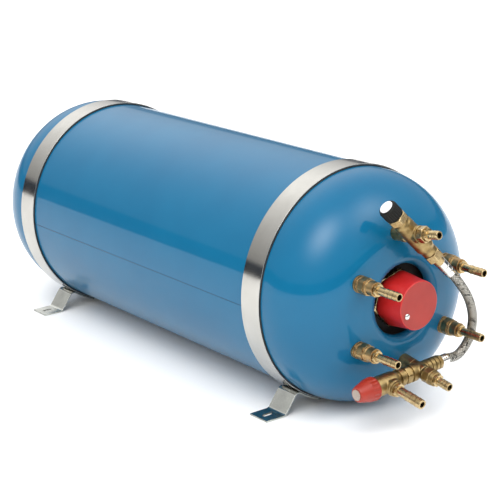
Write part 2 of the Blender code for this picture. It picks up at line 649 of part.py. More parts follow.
def make_cover():
    """The cover's foot follows the hexagon and its face is round. One screw holds it to the post."""
    start, end = HEATER_FACE + GAP, HEATER_FACE + COVER_HEIGHT
    inside = end - COVER_WALL
    bm = bmesh.new()
    rings = [cover_ring(bm, inside, COVER_RADIUS - COVER_WALL - CHAMFER, 0),
             cover_ring(bm, start, COVER_BASE_RADIUS - COVER_WALL, COVER_CORNER_BULGE),
             cover_ring(bm, start, COVER_BASE_RADIUS, COVER_CORNER_BULGE),
             cover_ring(bm, end - COVER_EDGE, COVER_RADIUS, 0),
             cover_ring(bm, end, COVER_RADIUS - COVER_EDGE, 0)]
    for low, high in zip(rings, rings[1:]):
        for step in range(COVER_SEGMENTS):
            after = (step + 1) % COVER_SEGMENTS
            bm.faces.new((low[step], low[after], high[after], high[step]))
    bm.faces.new(rings[0])
    bm.faces.new(rings[-1])
    cover = place(bm, "heater_cover", RED_PLASTIC, heater_group)
    on_post = {"at": (0, *COVER_SCREW_PLACE)}
    drill(cover, COVER_SCREW_RADIUS + GAP, inside - OVERCUT, end + OVERCUT, heater_group, **on_post)
    under, top = end + GAP, end + COVER_SCREW_HEAD_HEIGHT
    tip = POST_END - COVER_SCREW_GRIP
    lathe("cover_screw", [
        (tip, 0), (tip, COVER_SCREW_RADIUS), (under, COVER_SCREW_RADIUS), (under, COVER_SCREW_HEAD),
        (top - CHAMFER, COVER_SCREW_HEAD), (top, COVER_SCREW_HEAD - CHAMFER), (top, 0),
    ], STEEL, heater_group, **on_post)


def strip(points, wall):
    """The outline of a bent strip of even wall along a (y, z) centre line."""
    sides = ([], [])
    last = len(points) - 1
    for knot, point in enumerate(points):
        here = Vector(point)
        way_in = (here - Vector(points[max(knot - 1, 0)])).normalized()
        way_out = (Vector(points[min(knot + 1, last)]) - here).normalized()
        if knot == 0:
            way_in = way_out
        if knot == last:
            way_out = way_in
        normal_in = Vector((-way_in.y, way_in.x))
        mitre = (normal_in + Vector((-way_out.y, way_out.x))).normalized()
        reach = wall / 2 / mitre.dot(normal_in)
        sides[0].append(here + mitre * reach)
        sides[1].append(here - mitre * reach)
    return [tuple(point) for point in sides[0] + sides[1][::-1]]


def rounded(points, corner, radius, steps=4):
    """Replaces one corner of a line with an arc."""
    here, before, after = (Vector(points[corner + shift]) for shift in (0, -1, 1))
    to_before, to_after = (before - here).normalized(), (after - here).normalized()
    half = to_before.angle(to_after) / 2
    centre = here + (to_before + to_after).normalized() * radius / math.sin(half)
    start = here + to_before * radius / math.tan(half) - centre
    end = here + to_after * radius / math.tan(half) - centre
    whole = start.angle_signed(end)
    arc = []
    for step in range(steps + 1):
        turn = -whole * step / steps
        cosine, sine = math.cos(turn), math.sin(turn)
        arc.append((centre.x + start.x * cosine - start.y * sine,
                    centre.y + start.x * sine + start.y * cosine))
    return points[:corner] + arc + points[corner + 1:]


def make_band(name, x):
    """The steel band, a ring that is open at EAR_ANGLE and ends there in two ears."""
    gap_turn = (EAR_GAP + STRAP_WALL) / 2 / STRAP_MIDDLE
    steps = range(1, RING_SEGMENTS)
    turns = [gap_turn] + [RING_STEP * step for step in steps] + [math.tau - gap_turn]
    line = [(STRAP_MIDDLE * math.cos(turn - EAR_ANGLE), STRAP_MIDDLE * math.sin(turn - EAR_ANGLE))
            for turn in turns]
    line.insert(0, tuple(Vector(line[0]) + EAR_WAY * EAR_LENGTH))
    line.append(tuple(Vector(line[-1]) + EAR_WAY * EAR_LENGTH))
    outline = strip(line, STRAP_WALL)
    return prism(name, outline, -STRAP_WIDTH / 2, STRAP_WIDTH / 2, STEEL, tank, at=(x, 0, 0))


def make_strap(side, x):
    """Rubber liner, steel band, and the bolt through the band's ears."""
    half_liner = STRAP_WIDTH / 2 + LINER_OVERHANG
    tube("strap_liner_" + side, BARREL_RADIUS + GAP + LINER_WALL, BARREL_RADIUS + GAP, -half_liner,
         half_liner, RUBBER, tank, at=(x, 0, 0), segments=RING_SEGMENTS)
    band = make_band("strap_" + side, x)
    spot = EAR_WAY * (STRAP_MIDDLE + EAR_LENGTH * 0.6)
    where = {"at": (x, *spot), "along": (0, math.sin(EAR_ANGLE), math.cos(EAR_ANGLE))}
    grip = EAR_GAP / 2 + STRAP_WALL + GAP
    drill(band, STRAP_BOLT_RADIUS + GAP, -2 * grip, 2 * grip, tank, **where)
    nut_end = -grip - BOLT_NUT_LENGTH
    bolt = rod("strap_bolt_" + side, STRAP_BOLT_RADIUS, nut_end - BOLT_END, grip + OVERCUT, STEEL, tank,
               **where)
    flats = hexagon(STRAP_BOLT_HEX)
    for name, start, end in (("bolt_head", grip, grip + BOLT_HEAD_LENGTH), ("bolt_nut", nut_end, -grip)):
        change(bolt, prism(name, flats, start, end, STEEL, tank, **where), "UNION")


def foot_line():
    """The (y, z) centre line of a foot: along the strap, down its leg, and out along the floor."""
    middle = STRAP_MIDDLE + STRAP_WALL / 2 + GAP + FOOT_WALL / 2
    first = round(FOOT_FLANGE_ANGLE / RING_STEP)
    last = math.floor((FOOT_LEG_ANGLE - FOOT_BEND_RADIUS / middle) / RING_STEP)
    turns = [RING_STEP * step for step in range(first, last + 1)]
    line = [(middle * math.sin(turn), -middle * math.cos(turn)) for turn in turns]
    line.append((middle * math.sin(FOOT_LEG_ANGLE), -middle * math.cos(FOOT_LEG_ANGLE)))
    plate_z = -AXIS_HEIGHT + FOOT_WALL / 2
    line += [(-plate_z * math.tan(FOOT_LEG_ANGLE), plate_z), (FOOT_EDGE_Y, plate_z)]
    line = rounded(line, len(line) - 2, FOOT_BEND_RADIUS)
    return rounded(line, len(turns), FOOT_BEND_RADIUS)


def slot_outline():
    """A slot along Y with round ends."""
    half = FOOT_SLOT_WIDTH / 2
    straight = FOOT_SLOT_LENGTH / 2 - half
    turns = [math.radians(turn) for turn in range(0, 181, 30)]
    end = [(straight + half * math.sin(turn), half * math.cos(turn)) for turn in turns]
    return end + [(-along, -across) for along, across in end]


def make_foot(name, x, side):
    """A flange along the strap, a leg that points at the tank's axis, and a slotted foot plate."""
    outline = strip([(side * y, z) for y, z in foot_line()], FOOT_WALL)
    foot = prism(name, outline, -STRAP_WIDTH / 2, STRAP_WIDTH / 2, STEEL, tank, at=(x, 0, 0))
    spot = (x, side * (FOOT_EDGE_Y - FOOT_SLOT_FROM_EDGE), -AXIS_HEIGHT)
    tool = prism(name + "_slot", slot_outline(), -FOOT_WALL, 2 * FOOT_WALL, RUBBER, tank, at=spot,
                 along=(0, 0, 1))
    change(foot, tool)


def make_supports():
    for side, sign in (("left", -1), ("right", 1)):
        x = sign * STRAP_SPACING / 2
        make_strap(side, x)
        make_foot("foot_" + side + "_front", x, -1)
        make_foot("foot_" + side + "_back", x, 1)


def make_mixer_body():
    """The bored body on its sloping axis, with a stub to the tank and one to the outlet."""
    thin = MIXER_RADIUS - MIXER_STEP
    hole = SPINDLE_RADIUS + GAP
    taper = MIXER_BOTTOM - MIXER_TAPER_LENGTH
    body = lathe("mixer_body", [
        (MIXER_TOP, hole), (MIXER_TOP, thin), (MIXER_TOP + MIXER_TOP_TAPER, MIXER_RADIUS),
        (taper - MIXER_STEP, MIXER_RADIUS), (taper, thin), (MIXER_BOTTOM, thin), (MIXER_BOTTOM, MIXER_BORE),
        (MIXER_TOP + MIXER_LID, MIXER_BORE), (MIXER_TOP + MIXER_LID, hole),
    ], BRASS, hot_port, segments=ROUND, **MIXER_LINE)
    back = HOT_STANDOFF - MIXER_RADIUS - MIXER_STUB_BACK
    front = MIXER_FRONT
    inside = MIXER_BORE + OVERCUT
    for name, start, end in (("stub_back", back, HOT_STANDOFF - inside),
                             ("stub_front", HOT_STANDOFF + inside, front)):
        change(body, rod(name, MIXER_STUB_RADIUS, start, end, BRASS, hot_port), "UNION")
    drill(body, NIPPLE_BORE, back - OVERCUT, front + OVERCUT, hot_port)
    tube("mixer_nipple", NIPPLE_RADIUS, NIPPLE_BORE, -VESSEL_OFFSET - NIPPLE_INSIDE, back - GAP, BRASS,
         hot_port)


def bored_nut(name, across_flats, start, end, bore, **where):
    nut = prism(name, hexagon(across_flats), start, end, BRASS, hot_port, **where)
    drill(nut, bore, start - OVERCUT, end + OVERCUT, hot_port, **where)


def make_mixer_outlet():
    start = MIXER_FRONT + GAP
    end = start + OUTLET_NUT_LENGTH
    bored_nut("mixer_outlet_nut", OUTLET_NUT_HEX, start, end, NIPPLE_BORE)
    tail_x = end + GAP
    hose_tail("mixer_outlet_tail", hot_port, (tail_x, 0, 0), HOT_STANDOFF + MIXER_OUTLET_TIP - tail_x,
              TAIL_RADIUS)


def make_mixer_knob():
    """Bonnet, knob with its disc, and the spindle through the bonnet into the body."""
    bonnet_end = MIXER_TOP - GAP
    bonnet_start = bonnet_end - BONNET_LENGTH
    hole = SPINDLE_RADIUS + GAP
    bored_nut("mixer_bonnet", BONNET_HEX, bonnet_start, bonnet_end, hole, **MIXER_LINE)
    mouth = bonnet_start - GAP
    crown = mouth - KNOB_LENGTH
    floor = crown + KNOB_CROWN
    lathe("mixer_knob", [
        (mouth, hole), (mouth, KNOB_RADIUS - CHAMFER), (mouth - 3 * CHAMFER, KNOB_RADIUS),
        (crown + 4 * CHAMFER, KNOB_RADIUS), (crown, KNOB_RADIUS - 3 * CHAMFER), (crown, 0), (floor, 0),
        (floor, hole),
    ], BLACK_PLASTIC, hot_port, segments=ROUND, **MIXER_LINE)
    rod("mixer_knob_disc", KNOB_DISC_RADIUS, crown - GAP - DISC_THICKNESS, crown - GAP, WHITE_PLASTIC,
        hot_port, segments=ROUND, **MIXER_LINE)
    rod("mixer_spindle", SPINDLE_RADIUS, floor + GAP, MIXER_TOP + SPINDLE_INSIDE, STEEL, hot_port,
        **MIXER_LINE)


def make_mixer_piston():
    """Two lands on a rod, free to slide in the bore."""
    start = MIXER_TOP + SPINDLE_INSIDE + PISTON_STROKE + PISTON_CLEARANCE
    end = start + PISTON_LENGTH
    land, waist = MIXER_BORE - GAP, SPINDLE_RADIUS
    lathe("mixer_piston", [
        (start, 0), (start, land), (start + PISTON_LAND, land), (start + PISTON_LAND, waist),
        (end - PISTON_LAND, waist), (end - PISTON_LAND, land), (end, land), (end, 0),
    ], BRASS, hot_port, segments=ROUND, **MIXER_LINE)


def make_hose_top():
    """The nut and the ferrule that hold the hose under the mixing valve."""
    start = MIXER_BOTTOM + GAP
    end = start + HOSE_NUT_LENGTH
    bored_nut("hose_nut_upper", HOSE_NUT_HEX, start, end, NIPPLE_BORE, **MIXER_LINE)
    rod("hose_ferrule_upper", FERRULE_RADIUS, end + GAP, end + GAP + FERRULE_LENGTH, STEEL, hot_port,
        **MIXER_LINE)
    return end + GAP + FERRULE_LENGTH + GAP


def make_cold_cross():
    """The cross in the manifold's axis and the nipple that holds it to the tank."""
    centre = (COLD_STANDOFF, 0, 0)
    span = {"start": -CROSS_HALF, "end": CROSS_HALF, "material": BRASS, "parent": cold_port, "at": centre}
    cross = rod("cold_cross", CROSS_RADIUS, along=(0, 1, 0), **span)
    change(cross, rod("cross_arm", CROSS_RADIUS, **span), "UNION")
    for way in ((1, 0, 0), (0, 1, 0)):
        drill(cross, CROSS_BORE, -2 * CROSS_HALF, 2 * CROSS_HALF, cold_port, at=centre, along=way)
    back = COLD_STANDOFF - CROSS_HALF - GAP
    tube("cold_nipple", NIPPLE_RADIUS, NIPPLE_BORE, -VESSEL_OFFSET - NIPPLE_INSIDE, back, BRASS, cold_port)


def make_check_valve():
    """Body, spring-loaded poppet on a seat in its lid, and the inlet's hose tail."""
    start = COLD_STANDOFF + CROSS_HALF + GAP
    end = start + CHECK_LENGTH
    shoulder, lid = start + CHECK_SHOULDER, end - CHECK_LID
    inlet = CROSS_BORE - CHAMFER
    seat = POPPET_RADIUS - POPPET_SEAT_STEP
    lathe("check_valve_body", [
        (start, inlet), (start, CROSS_RADIUS), (start + CHECK_CONE, CHECK_RADIUS),
        (end - CHECK_TAPER, CHECK_RADIUS), (end, CHECK_END_RADIUS), (end, seat), (lid, seat),
        (lid, CHECK_BORE), (shoulder, CHECK_BORE), (shoulder, inlet),
    ], BRASS, cold_port, segments=ROUND)
    face = lid - GAP
    back = -POPPET_THICKNESS
    stem_end = shoulder + POPPET_STEM_SHORT + POPPET_STROKE - face
    lathe("check_valve_poppet", [
        (0, 0), (0, POPPET_RADIUS), (back, POPPET_RADIUS), (back, POPPET_STEM_RADIUS),
        (stem_end, POPPET_STEM_RADIUS), (stem_end, 0),
    ], BLACK_PLASTIC, cold_port, at=(face, 0, 0))
    spring("check_valve_spring", POPPET_RADIUS - 2 * SPRING_WIRE_RADIUS, shoulder + GAP, face + back - GAP,
           cold_port)
    tail_x = end + GAP
    hose_tail("cold_inlet_tail", cold_port, (tail_x, 0, 0), COLD_TAIL_TIP - tail_x, TAIL_RADIUS)


def make_hose_adapter():
    start = CROSS_HALF + GAP
    end = start + HOSE_ADAPTER_LENGTH
    bore = CROSS_BORE - CHAMFER
    profile = [(start, bore)] + ribbed(HOSE_ADAPTER_RADIUS, start, end, 4) + [(end, bore)]
    lathe("hose_adapter_lower", profile, BRASS, cold_port, at=(COLD_STANDOFF, 0, 0), along=(0, 1, 0))
    return end + GAP


def spring(name, radius, start, end, parent, along=(1, 0, 0)):
    """A coil spring between two planes across its axis."""
    wire = SPRING_WIRE_RADIUS
    steps = 8 * SPRING_TURNS
    points = []
    for step in range(steps + 1):
        turn = math.tau * SPRING_TURNS * step / steps
        x = start + wire + (end - start - 2 * wire) * step / steps
        points.append((x, radius * math.cos(turn), radius * math.sin(turn)))
    node = curve_tube(name, points, wire, STEEL, parent, sides=0)
    node.rotation_mode = "QUATERNION"
    node.rotation_quaternion = Vector(along).to_track_quat("X", "Z")


def make_relief_body():
    """Adapter, body with its discharge stub, and the discharge tail."""
    bore = CROSS_BORE - CHAMFER
    adapter_start = CROSS_HALF + GAP
    adapter_end = adapter_start + RELIEF_ADAPTER_LENGTH
    rings = ribbed(RELIEF_ADAPTER_RADIUS, adapter_start, adapter_end, 3)
    lathe("relief_adapter", [(adapter_start, bore)] + rings + [(adapter_end, bore)], BRASS, relief_valve,
          **RELIEF_LINE)
    inlet, hole = bore - 2 * CHAMFER, RELIEF_STEM_RADIUS + GAP
    start, end = RELIEF_START, RELIEF_END
    floor, lid = start + RELIEF_FLOOR, end - RELIEF_LID
    body = lathe("relief_body", [
        (start, inlet), (start, RELIEF_BODY_RADIUS - 2 * CHAMFER),
        (start + 5 * CHAMFER, RELIEF_BODY_RADIUS), (end, RELIEF_BODY_RADIUS), (end, hole), (lid, hole),
        (lid, RELIEF_BORE), (floor, RELIEF_BORE), (floor, inlet),
    ], BRASS, relief_valve, segments=ROUND, **RELIEF_LINE)
    stub_end = RELIEF_BODY_RADIUS + DISCHARGE_STUB
    spot = {"at": (0, DISCHARGE_Y, 0)}
    stub = rod("relief_stub", RELIEF_STUB_RADIUS, RELIEF_BORE + OVERCUT, stub_end, BRASS, relief_valve,
               **spot)
    change(body, stub, "UNION")
    drill(body, TAIL_BORE, 0, stub_end + OVERCUT, relief_valve, **spot)
    tail_x = stub_end + GAP
    hose_tail("discharge_tail", relief_valve, (tail_x, DISCHARGE_Y, 0), DISCHARGE_TIP - tail_x,
              DISCHARGE_RADIUS)


def make_relief_cap():
    """The stem with its valve disc and spring, and the cap that lifts it when it is turned."""
    disc = RELIEF_START + RELIEF_FLOOR + GAP
    disc_top = disc + RELIEF_VALVE_DISC
    lid = RELIEF_END - RELIEF_LID
    seat, stem = CROSS_BORE - CHAMFER, RELIEF_STEM_RADIUS
    cap_start = RELIEF_END + GAP
    stem_end = cap_start + RELIEF_STEM_OUTSIDE
    lathe("relief_stem", [
        (disc, 0), (disc, seat), (disc_top, seat), (disc_top, stem), (stem_end, stem), (stem_end, 0),
    ], BRASS, relief_valve, **RELIEF_LINE)
    spring("relief_spring", seat + CHAMFER, disc_top + GAP, lid - GAP, relief_valve, **RELIEF_LINE)
    hollow = RELIEF_CAP_END_RADIUS - RELIEF_CAP_WALL
    floor = stem_end + RELIEF_STROKE + RELIEF_CAP_CLEARANCE
    end = cap_start + RELIEF_CAP_LENGTH
    lathe("relief_cap", [
        (cap_start, hollow), (cap_start, RELIEF_CAP_RADIUS - CHAMFER),
        (cap_start + 4 * CHAMFER, RELIEF_CAP_RADIUS),
        (cap_start + RELIEF_CAP_GRIP, RELIEF_CAP_RADIUS - CHAMFER),
        (end - 3 * CHAMFER, RELIEF_CAP_END_RADIUS + CHAMFER), (end, RELIEF_CAP_END_RADIUS), (end, 0),
        (floor, 0), (floor, hollow),
    ], RED_CAP, relief_valve, segments=ROUND, **RELIEF_LINE)
    rod("relief_cap_disc", RELIEF_DISC_RADIUS, end + GAP, end + GAP + DISC_THICKNESS, WHITE_PLASTIC,
        relief_valve, **RELIEF_LINE)


def smooth_route(route, spacing):
    """Points of a smooth curve through the route's own points, about spacing apart."""
    ends = [2 * route[0] - route[1]] + route + [2 * route[-1] - route[-2]]
    points = []
    for before, start, end, after in zip(ends, ends[1:], ends[2:], ends[3:]):
        count = max(1, round((end - start).length / spacing))
        for step in range(count):
            t = step / count
            points.append(0.5 * (2 * start + (end - before) * t
                          + (2 * before - 5 * start + 4 * end - after) * t * t
                          + (3 * start - before - 3 * end + after) * t ** 3))
    return points + [route[-1]]


def make_hose(upper_end, lower_end):
    """The braided hose, from the ferrule under the mixing valve to the manifold's adapter."""
    slope = (math.cos(MIXER_SLOPE), -math.sin(MIXER_SLOPE))

    def upper(reach):
        return HOT_FRAME @ Vector((HOT_STANDOFF, reach * slope[0], reach * slope[1]))

    def lower(reach):
        return COLD_FRAME @ Vector((COLD_STANDOFF, reach, 0))

    start, end = upper(upper_end), lower(lower_end)
    route = [start, upper(upper_end + HOSE_LEAD)]
    for knot, (y, z) in enumerate(HOSE_ROUTE, 1):
        share = knot / (len(HOSE_ROUTE) + 1)
        route.append(Vector((start.x + (end.x - start.x) * share, y, z)))
    route += [lower(lower_end + HOSE_LEAD), end]
    curve_tube("braided_hose", smooth_route(route, 2 * HOSE_RADIUS), HOSE_RADIUS, BRAID, tank, sides=2)


make_tank()
make_coils()
make_coil_fittings()
make_heater_boss()
make_heater_head()
make_element()
make_thermostat()
make_cover()
make_supports()
make_mixer_body()
make_mixer_outlet()
make_mixer_knob()
make_mixer_piston()
hose_top = make_hose_top()
make_cold_cross()
make_check_valve()
hose_bottom = make_hose_adapter()
make_relief_body()
make_relief_cap()
make_hose(hose_top, hose_bottom)
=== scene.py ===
import json
import math

import bmesh
import bpy
from mathutils import Matrix, Vector


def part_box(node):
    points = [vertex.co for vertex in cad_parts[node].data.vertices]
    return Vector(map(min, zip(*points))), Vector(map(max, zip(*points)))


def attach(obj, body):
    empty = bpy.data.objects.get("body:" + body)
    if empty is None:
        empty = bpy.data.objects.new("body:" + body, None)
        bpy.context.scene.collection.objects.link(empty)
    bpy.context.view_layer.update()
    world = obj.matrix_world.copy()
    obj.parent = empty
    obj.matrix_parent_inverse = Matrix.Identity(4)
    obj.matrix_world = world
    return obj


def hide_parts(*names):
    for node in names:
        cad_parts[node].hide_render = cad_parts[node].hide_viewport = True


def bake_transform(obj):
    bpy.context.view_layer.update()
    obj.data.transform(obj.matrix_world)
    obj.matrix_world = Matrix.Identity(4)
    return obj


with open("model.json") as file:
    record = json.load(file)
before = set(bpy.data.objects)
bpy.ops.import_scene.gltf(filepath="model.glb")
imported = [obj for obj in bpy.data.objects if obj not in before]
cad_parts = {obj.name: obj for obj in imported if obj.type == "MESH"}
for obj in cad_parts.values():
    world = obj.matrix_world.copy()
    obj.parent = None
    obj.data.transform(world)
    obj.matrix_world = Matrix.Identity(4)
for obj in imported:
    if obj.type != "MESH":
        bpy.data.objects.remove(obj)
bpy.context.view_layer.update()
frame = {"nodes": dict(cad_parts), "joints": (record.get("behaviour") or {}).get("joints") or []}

MM = 0.001
GAP = 0.3 * MM
joints = {joint["name"]: joint for joint in frame["joints"]}


def add_object(name, data):
    thing = bpy.data.objects.new(name, data)
    bpy.context.collection.objects.link(thing)
    return thing


# ---- Camera: near the end with the fittings, looking a little down.

camera = add_object("camera", bpy.data.cameras.new("camera"))
camera.location = (2.07753, -1.61661, 0.97653)
camera.rotation_euler = [math.radians(turn) for turn in (73.353, 0.573, 51.38)]
camera.data.lens = 106.739
camera.data.sensor_width = 36
bpy.context.scene.camera = camera


# ---- Axes of the assemblies. Each is a frame whose X runs along the axis.

def aim(point, way):
    """A frame at a point, whose X looks along way."""
    return Matrix.Translation(point) @ Vector(way).to_track_quat("X", "Z").to_matrix().to_4x4()


def heading(axis):
    """The direction in which an axis runs."""
    return axis.to_3x3() @ Vector((1, 0, 0))


def middle(node):
    low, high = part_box(node)
    return (low + high) / 2


def between(start, end, share):
    """The number that lies a share of the way from start to end."""
    return start + (end - start) * share


def span(node, axis):
    """Where a CAD node starts and ends along an axis."""
    back = axis.inverted()
    along = [(back @ vertex.co).x for vertex in frame["nodes"][node].data.vertices]
    return min(along), max(along)


HOT_PORT_TILT = math.radians(10)
mixer_point = Vector(joints["mixer_knob_turn"]["pos_m"])
cross_point = Vector(joints["relief_cap_turn"]["pos_m"])
TANK = aim(Vector((0, 0, middle("heater_head").z)), (1, 0, 0))
HEATER = TANK
MIXER = aim(mixer_point, joints["mixer_knob_turn"]["axis"])
HOT = aim(mixer_point, (math.cos(HOT_PORT_TILT), 0, math.sin(HOT_PORT_TILT)))
RELIEF = aim(cross_point, joints["relief_cap_turn"]["axis"])
INLET = aim(cross_point, -Vector(joints["check_valve_open"]["axis"]))


def sideways(node, axis, way):
    """The axis of a piece that stands square on another axis, pointing along way."""
    start, end = span(node, axis)
    return aim(axis @ Vector(((start + end) / 2, 0, 0)), way)


DISCHARGE = sideways("discharge_tail", RELIEF, heading(INLET))


# ---- Materials.

ROUGHNESS_DRIFT = 2.3  # roughness drifts over shorter lengths than colour


def link(tree, source, target):
    tree.links.new(source, target)


def maths(tree, operation, first, second=None):
    """A Math node. Its inputs are sockets or plain numbers."""
    node = tree.nodes.new("ShaderNodeMath")
    node.operation = operation
    for socket, value in zip(node.inputs, (first, second)):
        if isinstance(value, (int, float)):
            socket.default_value = value
        elif value is not None:
            link(tree, value, socket)
    return node.outputs[0]


def noise(tree, scale, stretch=(1, 1, 1), detail=4.0):
    """A noise in the piece's own coordinates. The scale is in waves per metre."""
    coords = tree.nodes.new("ShaderNodeTexCoord")
    mapping = tree.nodes.new("ShaderNodeMapping")
    mapping.inputs["Scale"].default_value = [scale * part for part in stretch]
    texture = tree.nodes.new("ShaderNodeTexNoise")
    texture.inputs["Scale"].default_value = 1.0
    texture.inputs["Detail"].default_value = detail
    texture.inputs["Roughness"].default_value = 0.55
    link(tree, coords.outputs["Object"], mapping.inputs["Vector"])
    link(tree, mapping.outputs["Vector"], texture.inputs["Vector"])
    return texture.outputs[0]


def spread(tree, factor, low, high, start=0.3, end=0.7):
    """Maps a noise's useful range to the range low to high."""
    remap = tree.nodes.new("ShaderNodeMapRange")
    for socket, value in (("From Min", start), ("From Max", end), ("To Min", low), ("To Max", high)):
        remap.inputs[socket].default_value = value
    link(tree, factor, remap.inputs["Value"])
    return remap.outputs["Result"]


def ramp(tree, factor, stops):
    """Colours a value. Each stop is a place from 0 to 1 and a linear colour."""
    node = tree.nodes.new("ShaderNodeValToRGB")
    while len(node.color_ramp.elements) < len(stops):
        node.color_ramp.elements.new(0.5)
    for element, (place, colour) in zip(node.color_ramp.elements, stops):
        element.position = place
        element.color = (*colour, 1.0)
    link(tree, factor, node.inputs["Fac"])
    return node.outputs["Color"]


def bump(tree, shader, *layers):
    """Stacks relief layers of (height, depth in metres) on the shader's normal."""
    below = None
    for height, depth in layers:
        node = tree.nodes.new("ShaderNodeBump")
        node.inputs["Strength"].default_value = 1.0
        node.inputs["Distance"].default_value = depth
        link(tree, height, node.inputs["Height"])
        if below:
            link(tree, below, node.inputs["Normal"])
        below = node.outputs["Normal"]
    link(tree, below, shader.inputs["Normal"])


def new_material(name, metallic):
    """A material, its node tree and its Principled shader."""
    material = bpy.data.materials.new(name)
    material.use_nodes = True
    tree = material.node_tree
    shader = tree.nodes["Principled BSDF"]
    shader.inputs["Metallic"].default_value = metallic
    return material, tree, shader


def look(name, stops, rough, metallic=0.0, blotch=25.0, grain=900.0, stretch=(1, 1, 1),
         depth=0.02 * MM, wave=None, **gloss):
    """A surface whose colour and roughness drift, with a fine grain and maybe a slow wave."""
    material, tree, shader = new_material(name, metallic)
    for socket, value in gloss.items():
        shader.inputs[socket.replace("_", " ")].default_value = value
    link(tree, ramp(tree, noise(tree, blotch), stops), shader.inputs["Base Color"])
    fine = noise(tree, grain, stretch)
    mixed = maths(tree, "ADD", fine, noise(tree, blotch * ROUGHNESS_DRIFT))
    link(tree, spread(tree, mixed, *rough, start=0.7, end=1.3), shader.inputs["Roughness"])
    layers = [(fine, depth)]
    if wave:
        scale, height = wave
        layers.insert(0, (noise(tree, scale, detail=1.0), height))
    bump(tree, shader, *layers)
    return material


BLUE = look("blue_enamel", [(0.3, (0.003, 0.096, 0.198)), (0.7, (0.004, 0.109, 0.217))], (0.30, 0.36),
            blotch=7.0, grain=500.0, depth=0.003 * MM, wave=(9.0, 0.25 * MM),
            Specular_IOR_Level=0.05, Coat_Weight=0.5, Coat_Roughness=0.04, Coat_IOR=1.5)
# Insulation foam whose near-black colour is painted shade: the dark of the open recess round the heater.
PAINTED_SHADE_FOAM = look("foam_painted_shade", [(0.3, (0.012, 0.012, 0.012)), (0.7, (0.03, 0.028, 0.026))], (0.8, 0.95),
            grain=450.0, depth=0.5 * MM)
COPPER = look("copper", [(0.3, (0.50, 0.19, 0.10)), (0.7, (0.62, 0.27, 0.15))], (0.3, 0.45), 1.0)
CAST_BRASS = look("cast_brass", [(0.28, (0.17, 0.115, 0.045)), (0.5, (0.31, 0.220, 0.095)),
                                 (0.75, (0.43, 0.320, 0.155))], (0.30, 0.46), 1.0,
                  blotch=90.0, grain=1300.0, depth=0.08 * MM)
TURNED_BRASS = look("turned_brass", [(0.3, (0.38, 0.27, 0.13)), (0.7, (0.54, 0.42, 0.23))], (0.20, 0.34),
                    1.0, blotch=70.0, grain=2500.0, stretch=(1, 0.05, 0.05), depth=0.02 * MM)
DULL_BRASS = look("dull_brass", [(0.3, (0.28, 0.16, 0.07)), (0.7, (0.50, 0.35, 0.16))], (0.26, 0.40), 1.0,
                 blotch=70.0, grain=2200.0, stretch=(1, 0.05, 0.05), depth=0.02 * MM)
STEEL = look("polished_steel", [(0.3, (0.41, 0.40, 0.37)), (0.7, (0.48, 0.47, 0.44))], (0.10, 0.18), 1.0,
             blotch=14.0, grain=1500.0, stretch=(1, 0.01, 0.01), depth=0.002 * MM, wave=(14.0, 0.06 * MM))
FOOT_STEEL = look("foot_steel", [(0.3, (0.44, 0.45, 0.42)), (0.7, (0.54, 0.55, 0.51))], (0.16, 0.26), 1.0,
                  blotch=40.0, grain=1400.0, stretch=(0.03, 1, 1), depth=0.005 * MM)
SILVER = look("bright_steel", [(0.3, (0.62, 0.62, 0.60)), (0.7, (0.75, 0.75, 0.73))], (0.12, 0.22), 1.0,
              grain=2500.0, stretch=(1, 0.05, 0.05), depth=0.008 * MM)
RED = look("red_plastic", [(0.3, (0.42, 0.010, 0.009)), (0.7, (0.50, 0.015, 0.013))], (0.36, 0.46),
           blotch=30.0, grain=1800.0, depth=0.02 * MM, Coat_Weight=0.15, Coat_Roughness=0.25)
RED_FACE = look("red_face", [(0.3, (0.27, 0.015, 0.009)), (0.7, (0.32, 0.020, 0.012))], (0.42, 0.55),
                blotch=30.0, grain=1500.0, depth=0.05 * MM)
ORANGE = look("orange_cap", [(0.3, (0.25, 0.015, 0.005)), (0.7, (0.31, 0.020, 0.007))], (0.36, 0.48),
              blotch=40.0, grain=1800.0, depth=0.02 * MM)
BLACK = look("black_plastic", [(0.3, (0.005, 0.005, 0.004)), (0.7, (0.009, 0.009, 0.008))], (0.40, 0.52),
             grain=1800.0, depth=0.03 * MM, Specular_IOR_Level=0.2)
WHITE = look("white_plastic", [(0.3, (0.68, 0.67, 0.68)), (0.7, (0.76, 0.75, 0.76))], (0.32, 0.42),
             grain=1500.0, depth=0.01 * MM)
GREY = look("grey_plastic", [(0.3, (0.26, 0.21, 0.17)), (0.7, (0.34, 0.28, 0.24))], (0.38, 0.5),
            grain=1500.0, depth=0.02 * MM)
# Painted shadow: the dark line of the seam's groove.
SEAM = look("seam_shadow", [(0.3, (0.002, 0.022, 0.060)), (0.7, (0.003, 0.032, 0.080))], (0.5, 0.6))
RUBBER = look("rubber", [(0.3, (0.010, 0.010, 0.011)), (0.7, (0.022, 0.022, 0.023))], (0.55, 0.75),
              grain=1200.0, depth=0.05 * MM)


